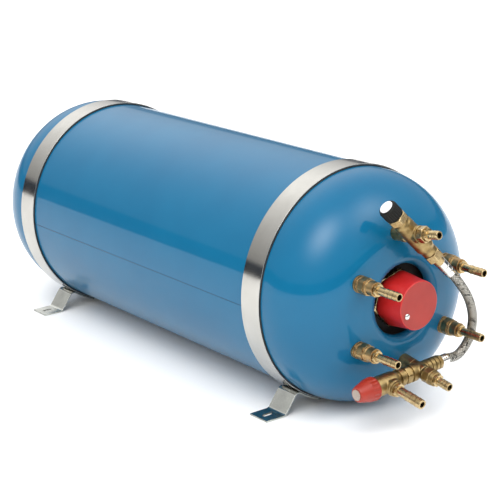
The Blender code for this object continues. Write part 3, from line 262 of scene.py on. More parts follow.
def braid_look():
    """Woven wire: two sets of strands that cross. Its colour is painted shade: it darkens from each
    strand's middle to its edges and to near black in the gaps between strands. A few dark flecks come from
    noise.
    """
    strands_round = 12
    material, tree, shader = new_material("wire_braid", 0.9)
    uv = tree.nodes.new("ShaderNodeUVMap")
    split = tree.nodes.new("ShaderNodeSeparateXYZ")
    link(tree, uv.outputs["UV"], split.inputs["Vector"])
    strands = []
    for way in (1, -1):
        slant = maths(tree, "MULTIPLY", split.outputs["Y"], strands_round * way)
        phase = maths(tree, "ADD", split.outputs["X"], slant)
        swing = maths(tree, "SINE", maths(tree, "MULTIPLY", phase, math.pi))
        strands.append(maths(tree, "ABSOLUTE", swing))
    weave = maths(tree, "MULTIPLY", *strands)
    speck = spread(tree, noise(tree, 190.0, detail=1.0), 0.08, 1.0, 0.38, 0.44)
    # Painted shade: near black in the gaps between strands, lighter towards each strand's middle.
    colour = ramp(tree, maths(tree, "MULTIPLY", weave, speck),
                  [(0.0, (0.02, 0.02, 0.02)), (0.25, (0.26, 0.25, 0.22)), (0.75, (0.50, 0.48, 0.43))])
    link(tree, colour, shader.inputs["Base Color"])
    link(tree, spread(tree, weave, 0.5, 0.3, 0.0, 1.0), shader.inputs["Roughness"])
    bump(tree, shader, (weave, 0.35 * MM))
    return material


BRAID = braid_look()


# ---- Mesh tools.

NUT_FACE_SHARE = 0.97  # radius of a nut's flat face, over half its width across flats
NUT_CHAMFER_SHARE = 0.55  # length of a nut's chamfer, over how far its corners stand out
CASTING_VOXEL = 0.6 * MM
HEX_TURN = math.radians(15)  # of every hexagon about its axis


def from_mesh(name, mesh, axis, material, body, nodes):
    """Makes a mesh a piece that rides on a body and stands for CAD nodes."""
    mesh.shade_smooth()
    mesh.materials.clear()
    mesh.materials.append(material)
    piece = add_object(name, mesh)
    piece.matrix_world = axis
    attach(piece, body)
    if nodes:
        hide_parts(*nodes)
    return piece


def weighted(piece):
    """Flat faces keep flat shading next to their rounded edges."""
    piece.modifiers.new("normals", "WEIGHTED_NORMAL").weight = 80
    return piece


def softened(profile, reach):
    """Rounds the corners of a profile. Points on the axis stay as they are."""
    closed = profile[0][1] > 0 and profile[-1][1] > 0
    points = []
    for place, point in enumerate(profile):
        corner = Vector(point)
        at_end = place in (0, len(profile) - 1)
        if point[1] <= 0 or (at_end and not closed):
            points.append(corner)
            continue
        before = Vector(profile[place - 1]) - corner
        after = Vector(profile[(place + 1) % len(profile)]) - corner
        start = corner + before.normalized() * min(reach, 0.4 * before.length)
        end = corner + after.normalized() * min(reach, 0.4 * after.length)
        for share in (0.0, 0.33, 0.67, 1.0):
            points.append(start * (1 - share) ** 2 + 2 * corner * share * (1 - share) + end * share ** 2)
    return [(point.x, point.y) for point in points]


def closed_mesh(name, vertices, faces):
    """The mesh of a closed shape, with its faces turned outward."""
    mesh = bpy.data.meshes.new(name)
    mesh.from_pydata(vertices, [], faces)
    shell = bmesh.new()
    shell.from_mesh(mesh)
    bmesh.ops.recalc_face_normals(shell, faces=shell.faces)
    shell.to_mesh(mesh)
    shell.free()
    return mesh


def tube(start, end, bore, radius):
    """The profile of a plain tube, or of a rod where the bore is 0."""
    return [(start, bore), (start, radius), (end, radius), (end, bore)]


def turned_mesh(name, profile, segments=64, shape=None):
    """Turns (x, radius) points about X. shape(x, radius, turn) may give another radius."""
    vertices = []
    rings = []
    for x, radius in profile:
        count = segments if radius > 0 else 1
        rings.append([len(vertices) + place for place in range(count)])
        for place in range(count):
            turn = math.tau * place / segments
            reach = shape(x, radius, turn) if shape and radius > 0 else radius
            vertices.append((x, reach * math.cos(turn), reach * math.sin(turn)))
    if profile[0][1] > 0 and profile[-1][1] > 0:
        rings.append(rings[0])
    faces = []
    for low, high in zip(rings, rings[1:]):
        for place in range(segments):
            after = (place + 1) % segments
            corners = [low[place % len(low)], low[after % len(low)],
                       high[after % len(high)], high[place % len(high)]]
            faces.append(list(dict.fromkeys(corners)))
    return closed_mesh(name, vertices, faces)


def turned(name, profile, axis, material, nodes=(), body="tank", segments=64, shape=None, soft=0.6 * MM):
    mesh = turned_mesh(name, softened(profile, soft), segments, shape)
    return weighted(from_mesh(name, mesh, axis, material, body, nodes))


def hexagon(across_flats, start=-1.0, end=1.0):
    """A shape that cuts six flats on a turned piece between start and end."""
    def shape(x, radius, turn):
        if not start <= x <= end:
            return radius
        flat = across_flats / 2 / math.cos((turn - HEX_TURN) % (math.pi / 3) - math.pi / 6)
        return min(radius, flat)
    return shape


def grips(count, depth, start, end):
    """A shape with ridges along the piece between start and end."""
    def shape(x, radius, turn):
        if not start <= x <= end:
            return radius
        return radius - depth * (0.5 - 0.5 * math.cos(count * turn)) ** 2
    return shape


def hex_nut(name, across_flats, start, end, bore, axis, material, nodes=(), body="tank"):
    """A nut with turned chamfers on both faces."""
    corner = across_flats / math.sqrt(3)
    face = across_flats / 2 * NUT_FACE_SHARE
    chamfer = (corner - face) * NUT_CHAMFER_SHARE
    outside = [(start, face), (start + chamfer, corner), (end - chamfer, corner), (end, face)]
    count = 5
    steps = []
    for (x0, r0), (x1, r1) in zip(outside, outside[1:]):
        steps += [(x0 + (x1 - x0) * step / count, r0 + (r1 - r0) * step / count) for step in range(count)]
    loop = [(start, bore)] + steps + [outside[-1], (end, bore)]
    mesh = turned_mesh(name, loop, 96, hexagon(across_flats))
    piece = from_mesh(name, mesh, axis, material, body, nodes)
    mesh.set_sharp_from_angle(angle=math.radians(28))
    return weighted(piece)


def add_tool(piece, shape, operation):
    """Joins a closed mesh to a piece, or cuts it away, by a helper object in the piece's frame."""
    tool = add_object("tool", shape)
    tool.matrix_world = piece.matrix_world
    step = piece.modifiers.new("step", "BOOLEAN")
    step.operation = operation
    step.object = tool
    return tool


def applied_mesh(piece, tools):
    """The piece's mesh after its modifiers. The helper objects are then removed."""
    bpy.context.view_layer.update()
    graph = bpy.context.evaluated_depsgraph_get()
    mesh = bpy.data.meshes.new_from_object(piece.evaluated_get(graph))
    for tool in tools:
        bpy.data.objects.remove(tool)
    return mesh


def melted(name, parts, cuts, axis, material, nodes):
    """A casting: turned parts joined and bored, with every edge and corner rounded a little."""
    base = add_object(name, parts[0])
    tools = [add_tool(base, part, "UNION") for part in parts[1:]]
    tools += [add_tool(base, part, "DIFFERENCE") for part in cuts]
    remesh = base.modifiers.new("remesh", "REMESH")
    remesh.mode = "VOXEL"
    remesh.voxel_size = CASTING_VOXEL
    smooth = base.modifiers.new("smooth", "SMOOTH")
    smooth.factor = 0.6
    smooth.iterations = 5
    mesh = applied_mesh(base, tools)
    bpy.data.objects.remove(base)
    mesh.name = name
    return from_mesh(name, mesh, axis, material, "tank", nodes)


def cut(piece, shapes):
    """Cuts closed meshes out of a piece, in the piece's own frame."""
    tools = [add_tool(piece, shape, "DIFFERENCE") for shape in shapes]
    mesh = applied_mesh(piece, tools)
    piece.modifiers.clear()
    piece.data = mesh
    mesh.set_sharp_from_angle(angle=math.radians(40))
    return weighted(piece)


# ---- Jacket and insulation.

KNUCKLE_RADIUS = 111 * MM
CROWN_RADIUS = 705 * MM
LIP_RADIUS = 14 * MM
RECESS_RADIUS = 60 * MM
JACKET_WALL = 2 * MM
BARREL_SEGMENTS = 192
LIP_START = -0.1  # the angle in radians at which the rolled lip leaves the dished end
SEAM_TURN = math.radians(87)  # from straight down, towards the front
SEAM_HALF_WIDTH = 0.6 * MM
SEAM_HEIGHT = 0.2 * MM  # above the sheet, and as much below
jacket_low, jacket_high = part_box("jacket")
BARREL_RADIUS = (jacket_high.y - jacket_low.y) / 2
HUB = BARREL_RADIUS - KNUCKLE_RADIUS
CROWN_CENTRE = -math.sqrt((CROWN_RADIUS - KNUCKLE_RADIUS) ** 2 - HUB ** 2)
DISH_DEPTH = CROWN_CENTRE + CROWN_RADIUS
FAR_END = jacket_low.x + DISH_DEPTH
LIP_HUB = RECESS_RADIUS + LIP_RADIUS
NEAR_END = jacket_high.x - CROWN_CENTRE - math.sqrt(CROWN_RADIUS ** 2 - LIP_HUB ** 2)


def arc(centre, radius, start, end, steps):
    """Points of an arc in the (x, radius) plane, angles from +X."""
    turns = [start + (end - start) * step / steps for step in range(steps + 1)]
    return [(centre[0] + radius * math.cos(turn), centre[1] + radius * math.sin(turn)) for turn in turns]


def dish(offset, end_radius):
    """A dished end from the barrel to a radius, with x counted from the barrel's end."""
    knuckle, crown = KNUCKLE_RADIUS - offset, CROWN_RADIUS - offset
    tangent = math.asin(HUB / (crown - knuckle))
    points = arc((0, HUB), knuckle, math.pi / 2, tangent, 20)
    points += arc((CROWN_CENTRE, 0), crown, tangent, math.asin(end_radius / crown), 12)[1:]
    return [(x, max(radius, 0.0)) for x, radius in points]


def make_jacket():
    """The blue shell, closed at the far end and rolled inward round the heater."""
    near_outer = [(NEAR_END + x, radius) for x, radius in dish(0.0, LIP_HUB)]
    far_outer = [(FAR_END - x, radius) for x, radius in dish(0.0, 0.0)]
    near_inner = [(NEAR_END + x, radius) for x, radius in dish(JACKET_WALL, LIP_HUB)]
    far_inner = [(FAR_END - x, radius) for x, radius in dish(JACKET_WALL, 0.0)]
    centre = (near_outer[-1][0] - LIP_RADIUS, LIP_HUB)
    rolled = arc(centre, LIP_RADIUS, LIP_START, -math.pi / 2, 12)
    under = arc(centre, LIP_RADIUS - JACKET_WALL, -math.pi / 2, LIP_START, 8)
    loop = far_outer[::-1] + near_outer + rolled + under + near_inner[::-1] + far_inner
    mesh = turned_mesh("jacket_shell", loop, BARREL_SEGMENTS)
    return from_mesh("jacket_shell", mesh, TANK, BLUE, "tank", ["jacket"])


def make_seam():
    """The lap seam of the jacket's sheet, along the barrel between the straps. It is a thin dark strip:
    painted shadow of the seam's groove.
    """
    start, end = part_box("strap_liner_left")[1].x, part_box("strap_liner_right")[0].x
    foot, top = SEAM_HALF_WIDTH, 0.6 * SEAM_HALF_WIDTH
    outline = [(-foot, -SEAM_HEIGHT), (-top, SEAM_HEIGHT), (top, SEAM_HEIGHT), (foot, -SEAM_HEIGHT)]
    vertices = [(x, side, -BARREL_RADIUS - out) for x in (start + GAP, end - GAP) for side, out in outline]
    faces = [(0, 1, 5, 4), (1, 2, 6, 5), (2, 3, 7, 6), (3, 0, 4, 7), (3, 2, 1, 0), (4, 5, 6, 7)]
    mesh = bpy.data.meshes.new("seam")
    mesh.from_pydata(vertices, [], faces)
    mesh.transform(Matrix.Rotation(-SEAM_TURN, 4, "X"))
    from_mesh("seam", mesh, Matrix.Translation((0, 0, TANK.translation.z)), SEAM, "tank", [])


make_jacket()
make_seam()


# ---- Straps and feet.

STRAP_WALL = 2 * MM
EAR_ANGLE = math.radians(40)  # below the level of the axis, at the back
EAR_LENGTH = 20 * MM
EAR_GAP = 12 * MM
EAR_BEND = 3 * MM
FOOT_WALL = 3 * MM
FOOT_TOP_ANGLE = math.radians(20)  # from straight down, where the foot's strip begins
FOOT_LEG_ANGLE = math.radians(36)  # where its leg leaves the strap
FOOT_KNEE = 9 * MM
SLOT_RADIUS = 4 * MM
SLOT_HALF_LENGTH = 6 * MM  # between the centres of its round ends
SLOT_INSET = 19 * MM  # from the plate's free edge


def bend_line(points, radius, steps=8):
    """Rounds the inner corners of a line of (y, z) points."""
    line = [Vector(points[0])]
    for before, corner, after in zip(points, points[1:], points[2:]):
        back = (Vector(before) - Vector(corner)).normalized()
        on = (Vector(after) - Vector(corner)).normalized()
        half = back.angle(on) / 2
        centre = Vector(corner) + (back + on).normalized() * radius / math.sin(half)
        start = Vector(corner) + back * radius / math.tan(half) - centre
        whole = start.angle_signed(Vector(corner) + on * radius / math.tan(half) - centre)
        for step in range(steps + 1):
            turn = -whole * step / steps
            spot = Matrix.Rotation(turn, 2) @ start
            line.append(centre + spot)
    return line + [Vector(points[-1])]


def band_mesh(name, line, width, wall, edge=0.5 * MM):
    """A bent strip along a (y, z) line, as wide as width along X, with rounded edges."""
    half, thin = width / 2, wall / 2
    section = [(half - edge, thin), (half, thin - edge), (half, edge - thin), (half - edge, -thin),
               (edge - half, -thin), (-half, edge - thin), (-half, thin - edge), (edge - half, thin)]
    vertices = []
    for place, point in enumerate(line):
        before = line[max(place - 1, 0)]
        after = line[min(place + 1, len(line) - 1)]
        way = (after - before).normalized()
        out = Vector((-way.y, way.x))
        for x, lift in section:
            spot = point + out * lift
            vertices.append((x, spot.x, spot.y))
    count = len(section)
    faces = [list(range(count)), [len(vertices) - 1 - place for place in range(count)]]
    for low in range(0, len(vertices) - count, count):
        for place in range(count):
            after = (place + 1) % count
            faces.append([low + place, low + after, low + count + after, low + count + place])
    return closed_mesh(name, vertices, faces)


def make_strap(side):
    """Rubber liner, and polished band with two ears at the back for the bolt."""
    low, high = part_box("strap_" + side)
    liner_low, liner_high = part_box("strap_liner_" + side)
    centre = Matrix.Translation(((low.x + high.x) / 2, 0, TANK.translation.z))
    half_liner = (liner_high.x - liner_low.x) / 2
    outer = (liner_high.y - liner_low.y) / 2
    turned("liner_" + side, tube(-half_liner, half_liner, BARREL_RADIUS + GAP / 2, outer),
           centre, RUBBER, ["strap_liner_" + side], segments=BARREL_SEGMENTS)
    radius = (high.y - low.y) / 2 - STRAP_WALL / 2
    opening = (EAR_GAP + STRAP_WALL) / 2 / radius
    steps = 180
    turns = [opening + (math.tau - 2 * opening) * step / steps for step in range(steps + 1)]
    ring = [Vector((math.cos(turn - EAR_ANGLE), math.sin(turn - EAR_ANGLE))) * radius for turn in turns]
    out = Vector((math.cos(EAR_ANGLE), -math.sin(EAR_ANGLE)))
    start = bend_line([ring[0] + out * EAR_LENGTH, ring[0], ring[2]], EAR_BEND, 6)
    end = bend_line([ring[-3], ring[-1], ring[-1] + out * EAR_LENGTH], EAR_BEND, 6)
    line = start[:-1] + ring[2:-2] + end[1:]
    mesh = band_mesh("band_" + side, line, high.x - low.x, STRAP_WALL)
    weighted(from_mesh("band_" + side, mesh, centre, STEEL, "tank", ["strap_" + side]))


def make_foot(side, place, way):
    """A strip along the strap, a leg that leaves it, and a slotted plate on the floor."""
    node = "foot_%s_%s" % (side, place)
    low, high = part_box(node)
    strap_low, strap_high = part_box("strap_" + side)
    radius = (strap_high.y - strap_low.y) / 2 + GAP + FOOT_WALL / 2
    floor = -TANK.translation.z + FOOT_WALL / 2
    edge = max(abs(low.y), abs(high.y))
    steps = 10
    turns = [FOOT_TOP_ANGLE + (FOOT_LEG_ANGLE - FOOT_TOP_ANGLE) * step / steps for step in range(steps + 1)]
    flange = [Vector((radius * math.sin(turn), -radius * math.cos(turn))) for turn in turns]
    heel = Vector((-floor * math.tan(FOOT_LEG_ANGLE), floor))
    line = flange[:-3] + bend_line([flange[-3], flange[-1], heel, Vector((edge, floor))], FOOT_KNEE)
    line = [Vector((way * point.x, point.y)) for point in line]
    centre = Matrix.Translation(((low.x + high.x) / 2, 0, TANK.translation.z))
    mesh = band_mesh(node, line, high.x - low.x, FOOT_WALL)
    piece = from_mesh("bracket_%s_%s" % (side, place), mesh, centre, FOOT_STEEL, "tank", [node])
    slot = turned_mesh("slot", tube(-2 * FOOT_WALL, 2 * FOOT_WALL, 0, SLOT_RADIUS), 32)
    for vertex in slot.vertices:
        vertex.co.y += SLOT_HALF_LENGTH if vertex.co.y > 0 else -SLOT_HALF_LENGTH
    spot = Matrix.Translation((0, way * (edge - SLOT_INSET), floor))
    slot.transform(spot @ Matrix.Rotation(math.pi / 2, 4, "Y"))
    cut(piece, [slot])


for strap_side in ("left", "right"):
    make_strap(strap_side)
    make_foot(strap_side, "front", -1)
    make_foot(strap_side, "back", 1)


# ---- Hose tails and unions.

TAIL_RADIUS = 7.5 * MM
TAIL_BORE = 5 * MM
TAIL_COLLAR = 4 * MM
TAIL_BARBS = 3
BARBS_START = 0.42  # the share of a tail's length that comes before its barbs
UNION_RINGS = [  # (start, end, radius), as shares of the union's length and radius
    (0.04, 0.21, 1.0),
    (0.25, 0.31, 0.97),
    (0.35, 0.60, 1.0),
    (0.64, 0.70, 0.93),
]
UNION_NUT = (0.34, 0.61)
UNION_FLATS = 0.92
UNION_NECK = 0.84


def hose_tail(name, node, axis, radius=TAIL_RADIUS, short=0.0):
    """A collar with flats, a neck and barbs up to the tip, with an open bore.

    short takes a little off the tip.
    """
    start, end = span(node, axis)
    end -= short
    collar = radius + 3 * MM
    neck = start + TAIL_COLLAR
    first = between(start, end, BARBS_START)
    pitch = (end - first) / TAIL_BARBS
    profile = [(start, TAIL_BORE), (start, collar), (neck, collar), (neck + 0.5 * MM, radius * 0.9),
               (first, radius * 0.9)]
    for barb in range(TAIL_BARBS):
        x = first + barb * pitch
        profile += [(x + 0.4 * MM, radius), (x + pitch - 0.6 * MM, radius * 0.92)]
    profile += [(end, radius * 0.86), (end, TAIL_BORE)]
    return turned(name, profile, axis, TURNED_BRASS, [node], soft=0.35 * MM,
                  shape=hexagon(2 * radius + 4 * MM, start, neck))


def make_union(port):
    """Collar at the jacket, a ring, the nut and another ring, then a plain neck up to the tail."""
    node = "coil_union_" + port
    spot = middle(node)
    axis = aim(Vector((0, spot.y, spot.z)), (1, 0, 0))
    start, end = span(node, axis)
    radius = (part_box(node)[1].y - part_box(node)[0].y) / 2
    neck = radius * UNION_NECK
    profile = [(start, TAIL_BORE), (start, radius - 1.5 * MM)]
    for first, last, reach in UNION_RINGS:
        profile += tube(between(start, end, first), between(start, end, last), neck, radius * reach)
    profile += [(end, neck), (end, TAIL_BORE)]
    nut = [between(start, end, share) for share in UNION_NUT]
    turned("union_" + port, profile, axis, DULL_BRASS, [node], segments=96,
           shape=hexagon(2 * radius * UNION_FLATS, *nut), soft=0.7 * MM)
    hose_tail("tail_" + port, "coil_tail_" + port, axis)


for coil_port in ("left_upper", "left_lower", "right_upper", "right_lower"):
    make_union(coil_port)


# ---- Heater: brass hexagon and the red cover.

HEX_ACROSS_FLATS = 86 * MM
POST_RADIUS = 4.5 * MM
POST_HOLE_RADIUS = 3 * MM
POST_HOLE_DEPTH = 14 * MM
COVER_FOOT_RADIUS = 42.5 * MM
COVER_TOP_RADIUS = 41.5 * MM
COVER_WALL = 2 * MM
COVER_EDGE = 2 * MM
COVER_LOBE = 4.2 * MM  # how far the cover's foot swells over the hexagon's corners
LOBE_FADE = 6 * MM  # below the cover's face, where the swelling ends
SCREW_RADIUS = 2.4 * MM
SCREW_HEAD_RADIUS = 5.5 * MM
cover_screw = middle("cover_screw")
POST = aim(Vector((0, cover_screw.y, cover_screw.z)), (1, 0, 0))


def make_heater():
    """The hexagon, and the post on it that takes the cover's screw."""
    end = span("heater_head", HEATER)[1]
    face = span("heater_cover", HEATER)[0] - GAP
    back = span("heater_gasket", HEATER)[1] + GAP
    hex_nut("heater_hexagon", HEX_ACROSS_FLATS, back, face, 0.5 * MM, HEATER, TURNED_BRASS,
            ["heater_head"])
    floor = end - POST_HOLE_DEPTH
    turned("cover_post", [(face - MM, 0), (face - MM, POST_RADIUS), (end, POST_RADIUS),
                          (end, POST_HOLE_RADIUS), (floor, POST_HOLE_RADIUS), (floor, 0)],
           POST, TURNED_BRASS)


def make_cover():
    """A thin red cup whose foot swells over the hexagon's six corners."""
    foot, top = COVER_FOOT_RADIUS, COVER_TOP_RADIUS
    start, end = span("heater_cover", HEATER)
    edge = end - COVER_EDGE

    def shape(x, radius, turn):
        lobe = 0.5 + 0.5 * math.cos(6 * (turn - HEX_TURN))
        fade = max(0.0, 1 - (x - start) / (end - LOBE_FADE - start))
        return radius + COVER_LOBE * lobe * fade if radius > top * 0.9 else radius

    count = 12
    side = [(start + (edge - start) * step / count, foot + (top - foot) * step / count)
            for step in range(count + 1)]
    rim = arc((edge, top - COVER_EDGE), COVER_EDGE, math.pi / 2, 0, 6)[1:]
    inside = [(end - COVER_WALL, 0), (end - COVER_WALL, top - COVER_WALL - MM), (start, foot - COVER_WALL)]
    loop = inside + side + rim + [(end, 0)]
    mesh = turned_mesh("red_cover", loop, 144, shape)
    cover = from_mesh("red_cover", mesh, HEATER, RED, "heater_cover", ["heater_cover"])
    mesh.materials.append(RED_FACE)
    for face in mesh.polygons:
        if face.center.x > end - 0.1 * MM:
            face.material_index = 1
    mesh.set_sharp_from_angle(angle=math.radians(50))
    weighted(cover)


def make_cover_screw():
    """A screw with a domed head that rides on the cover."""
    start, end = span("cover_screw", POST)
    under = span("heater_cover", HEATER)[1] + GAP
    head = SCREW_HEAD_RADIUS
    dome = arc((under, 0), head, math.radians(70), 0, 8)
    dome = [(under + (x - under) * (end - under) / head, radius) for x, radius in dome]
    shank = [(start, 0), (start, SCREW_RADIUS), (under, SCREW_RADIUS), (under, head * 0.97)]
    turned("screw", shank + dome[:-1] + [(end, 0)], POST, SILVER, ["cover_screw"], "heater_cover",
           soft=0.2 * MM)


make_heater()
make_cover()
make_cover_screw()


# ---- Mixing valve.

PORT_BORE = 8 * MM
PIPE_RADIUS = 12 * MM
MIXER_RADIUS = 15.5 * MM
MIXER_BORE = 9 * MM
MIXER_BOSS = 14 * MM
BONNET_FLATS = 30 * MM
HOSE_NUT_FLATS = 26 * MM
OUTLET_NUT_FLATS = 24 * MM
SPINDLE_HOLE = 4.3 * MM
KNOB_RIBS = 20
KNOB_RIB_DEPTH = 1.1 * MM
KNOB_DISC_RADIUS = 11.2 * MM


def make_mixer_body():
    """The casting: a barrel with narrower ends, crossed by the hot port and the outlet."""
    start, end = span("mixer_body", MIXER)
    top, foot = MIXER_RADIUS - 2 * MM, MIXER_RADIUS - 2.5 * MM
    body = turned_mesh("body", softened([
        (start, MIXER_BORE), (start, top), (start + 5 * MM, top), (start + 9 * MM, MIXER_RADIUS),
        (end - 16 * MM, MIXER_RADIUS), (end - 9 * MM, foot), (end, foot), (end, MIXER_BORE),
    ], MM))
    low, high = span("mixer_body", HOT)
    inner = MIXER_BORE + MM
    arms = [turned_mesh("arm", tube(arm_start, arm_end, 0, MIXER_BOSS))
            for arm_start, arm_end in ((low, -inner), (inner, high))]
    drill = turned_mesh("drill", tube(low - MM, high + MM, 0, PORT_BORE))
    slant = aim((0, 0, 0), heading(MIXER.inverted() @ HOT))
    for mesh in arms + [drill]:
        mesh.transform(slant)
    melted("mixer_casting", [body] + arms, [drill], MIXER, CAST_BRASS, ["mixer_body"])


def make_mixer_fittings():
    low, high = span("mixer_bonnet", MIXER)
    hex_nut("bonnet", BONNET_FLATS, low, high, SPINDLE_HOLE, MIXER, TURNED_BRASS, ["mixer_bonnet"])
    low, high = span("hose_nut_upper", MIXER)
    hex_nut("hose_nut", HOSE_NUT_FLATS, low, between(low, high, 0.55), PORT_BORE, MIXER, TURNED_BRASS,
            ["hose_nut_upper"])
    neck = between(low, high, 0.56)
    turned("hose_neck", [(neck, PORT_BORE), (neck, 10.5 * MM), (high, 9.5 * MM), (high, PORT_BORE)],
           MIXER, TURNED_BRASS)
    low, high = span("mixer_outlet_nut", HOT)
    hex_nut("outlet_nut", OUTLET_NUT_FLATS, low, high, PORT_BORE, HOT, TURNED_BRASS, ["mixer_outlet_nut"])
    hose_tail("outlet_tail", "mixer_outlet_tail", HOT)
    low, high = span("mixer_nipple", HOT)
    turned("hot_nipple", tube(low, high, PORT_BORE, PIPE_RADIUS), HOT, DULL_BRASS, ["mixer_nipple"])


def make_knob():
    """Ribbed black knob with a white disc in its end. It turns on the valve's own axis."""
    low, high = span("mixer_knob", MIXER)
    radius = MIXER_RADIUS
    outside = [(high, SPINDLE_HOLE), (high, radius - 1.5 * MM), (high - 1.5 * MM, radius),
               (low + 3.5 * MM, radius), (low + MM, radius - 1.2 * MM), (low, radius - 2.5 * MM),
               (low, KNOB_DISC_RADIUS + MM), (low + 0.6 * MM, KNOB_DISC_RADIUS + 0.6 * MM),
               (low + 0.6 * MM, 0)]
    turned("knob", outside, MIXER, BLACK, ["mixer_knob"], "mixer_knob", 180,
           grips(KNOB_RIBS, KNOB_RIB_DEPTH, low + 3 * MM, high - 1.4 * MM), 0.4 * MM)
    low, high = span("mixer_knob_disc", MIXER)
    disc = [(high, 0), (high, KNOB_DISC_RADIUS), (low + 0.4 * MM, KNOB_DISC_RADIUS),
            (low, KNOB_DISC_RADIUS - 0.7 * MM), (low, 0)]
    turned("knob_disc", disc, MIXER, WHITE, ["mixer_knob_disc"], "mixer_knob", soft=0.2 * MM)


make_mixer_body()
make_mixer_fittings()
make_knob()


# ---- Cold manifold and relief valve.

ADAPTER_BORE = 7 * MM
ADAPTER_RADIUS = 15 * MM
ADAPTER_FLATS = 27 * MM
HOSE_ADAPTER_FLATS = 21.5 * MM
CHECK_RADIUS = 14 * MM
CHECK_FLATS = 25 * MM
COLLAR_WAIST = 0.8  # radius between two collars, over the collars' radius
RELIEF_RADIUS = 17 * MM
RELIEF_BORE = 11.5 * MM
STEM_HOLE = 3.3 * MM
STUB_RADIUS = 14.5 * MM
STUB_END_RADIUS = 13 * MM
DISCHARGE_RADIUS = 8.5 * MM
CAP_RADIUS = 20 * MM
CAP_TOP_RADIUS = 12 * MM
CAP_HOLLOW = 9.5 * MM
CAP_RIDGES = 14
CAP_RIDGE_DEPTH = 1.2 * MM
CAP_DISC_RADIUS = 9 * MM


def collars(start, end, radius, count, bore, gap=0.2):
    """A profile of round collars in a row. The gap after each is a share of the pitch."""
    pitch = (end - start) / count
    waist = radius * COLLAR_WAIST
    profile = [(start, bore)]
    for ring in range(count):
        low = start + pitch * ring
        high = low + pitch
        edge = high - pitch * gap
        profile += [(low, radius), (edge, radius), (edge, waist), (high, waist)]
    return profile + [(end, bore)]


def make_manifold():
    """The cross, its nipple on the jacket, and the adapter that takes the hose."""
    low, high = span("cold_cross", RELIEF)
    profile = softened(tube(low, high, PORT_BORE, PIPE_RADIUS), MM)
    bore = tube(2 * low, 2 * high, 0, PORT_BORE)
    arms = [turned_mesh("along", profile), turned_mesh("across", profile)]
    drills = [turned_mesh("drill_along", bore), turned_mesh("drill_across", bore)]
    for mesh in (arms[1], drills[1]):
        mesh.transform(aim((0, 0, 0), RELIEF.to_3x3().inverted() @ heading(INLET)))
    melted("cross_casting", arms, drills, RELIEF, CAST_BRASS, ["cold_cross"])
    low, high = span("cold_nipple", INLET)
    turned("cold_nipple_shown", tube(low, high, PORT_BORE, PIPE_RADIUS), INLET, DULL_BRASS,
           ["cold_nipple"])
    low, high = span("hose_adapter_lower", RELIEF)
    turned("hose_adapter", collars(high, low, PIPE_RADIUS, 4, ADAPTER_BORE), RELIEF, CAST_BRASS,
           ["hose_adapter_lower"], shape=hexagon(HOSE_ADAPTER_FLATS, low, between(low, high, 0.22)),
           segments=96)


def make_check_valve():
    """A body with a broad hexagon and a ring, and the inlet's tail."""
    low, high = span("check_valve_body", INLET)
    neck = CHECK_RADIUS - 1.6 * MM
    shares = [(0.0, 10 * MM), (0.0, 12 * MM), (0.12, 12.6 * MM), (0.18, CHECK_RADIUS),
              (0.62, CHECK_RADIUS), (0.66, neck), (0.72, neck), (0.74, CHECK_RADIUS - MM)]
    shell = [(between(low, high, share), radius) for share, radius in shares]
    shell += [(high - MM, 12 * MM), (high, 11.2 * MM), (high, 6 * MM)]
    flats = hexagon(CHECK_FLATS, between(low, high, 0.17), between(low, high, 0.63))
    turned("check_valve_shell", shell, INLET, CAST_BRASS, ["check_valve_body"], shape=flats, segments=96)
    hose_tail("inlet_tail", "cold_inlet_tail", INLET)


def make_relief_valve():
    low, high = span("relief_adapter", RELIEF)
    rings = collars(low, high, ADAPTER_RADIUS, 3, ADAPTER_BORE, 0.28)
    turned("relief_adapter_shown", rings, RELIEF, CAST_BRASS, ["relief_adapter"], segments=96,
           shape=hexagon(ADAPTER_FLATS, between(low, high, 0.3), between(low, high, 0.6)))
    low, high = span("relief_body", RELIEF)
    seat, lid, edge = low + 3 * MM, high - 4 * MM, RELIEF_RADIUS
    body = turned_mesh("body", softened([
        (low, TAIL_BORE), (low, edge - 3 * MM), (low + 7 * MM, edge - MM), (high - 8 * MM, edge),
        (high, edge), (high, STEM_HOLE), (lid, STEM_HOLE), (lid, RELIEF_BORE),
        (seat, RELIEF_BORE), (seat, TAIL_BORE),
    ], MM))
    end = span("relief_body", DISCHARGE)[1]
    root, shoulder = RELIEF_BORE + MM, end - 5 * MM
    stub = turned_mesh("stub", [(root, 0), (root, STUB_RADIUS), (shoulder, STUB_RADIUS),
                                (shoulder, STUB_END_RADIUS), (end, STUB_END_RADIUS), (end, 0)])
    drill = turned_mesh("drill", tube(0.0, end + MM, 0, TAIL_BORE))
    for mesh in (stub, drill):
        mesh.transform(RELIEF.inverted() @ DISCHARGE)
    melted("relief_casting", [body, stub], [drill], RELIEF, CAST_BRASS, ["relief_body"])
    # A millimetre off the tip keeps it inside the CAD model's box.
    hose_tail("discharge_tail_shown", "discharge_tail", DISCHARGE, DISCHARGE_RADIUS, MM)


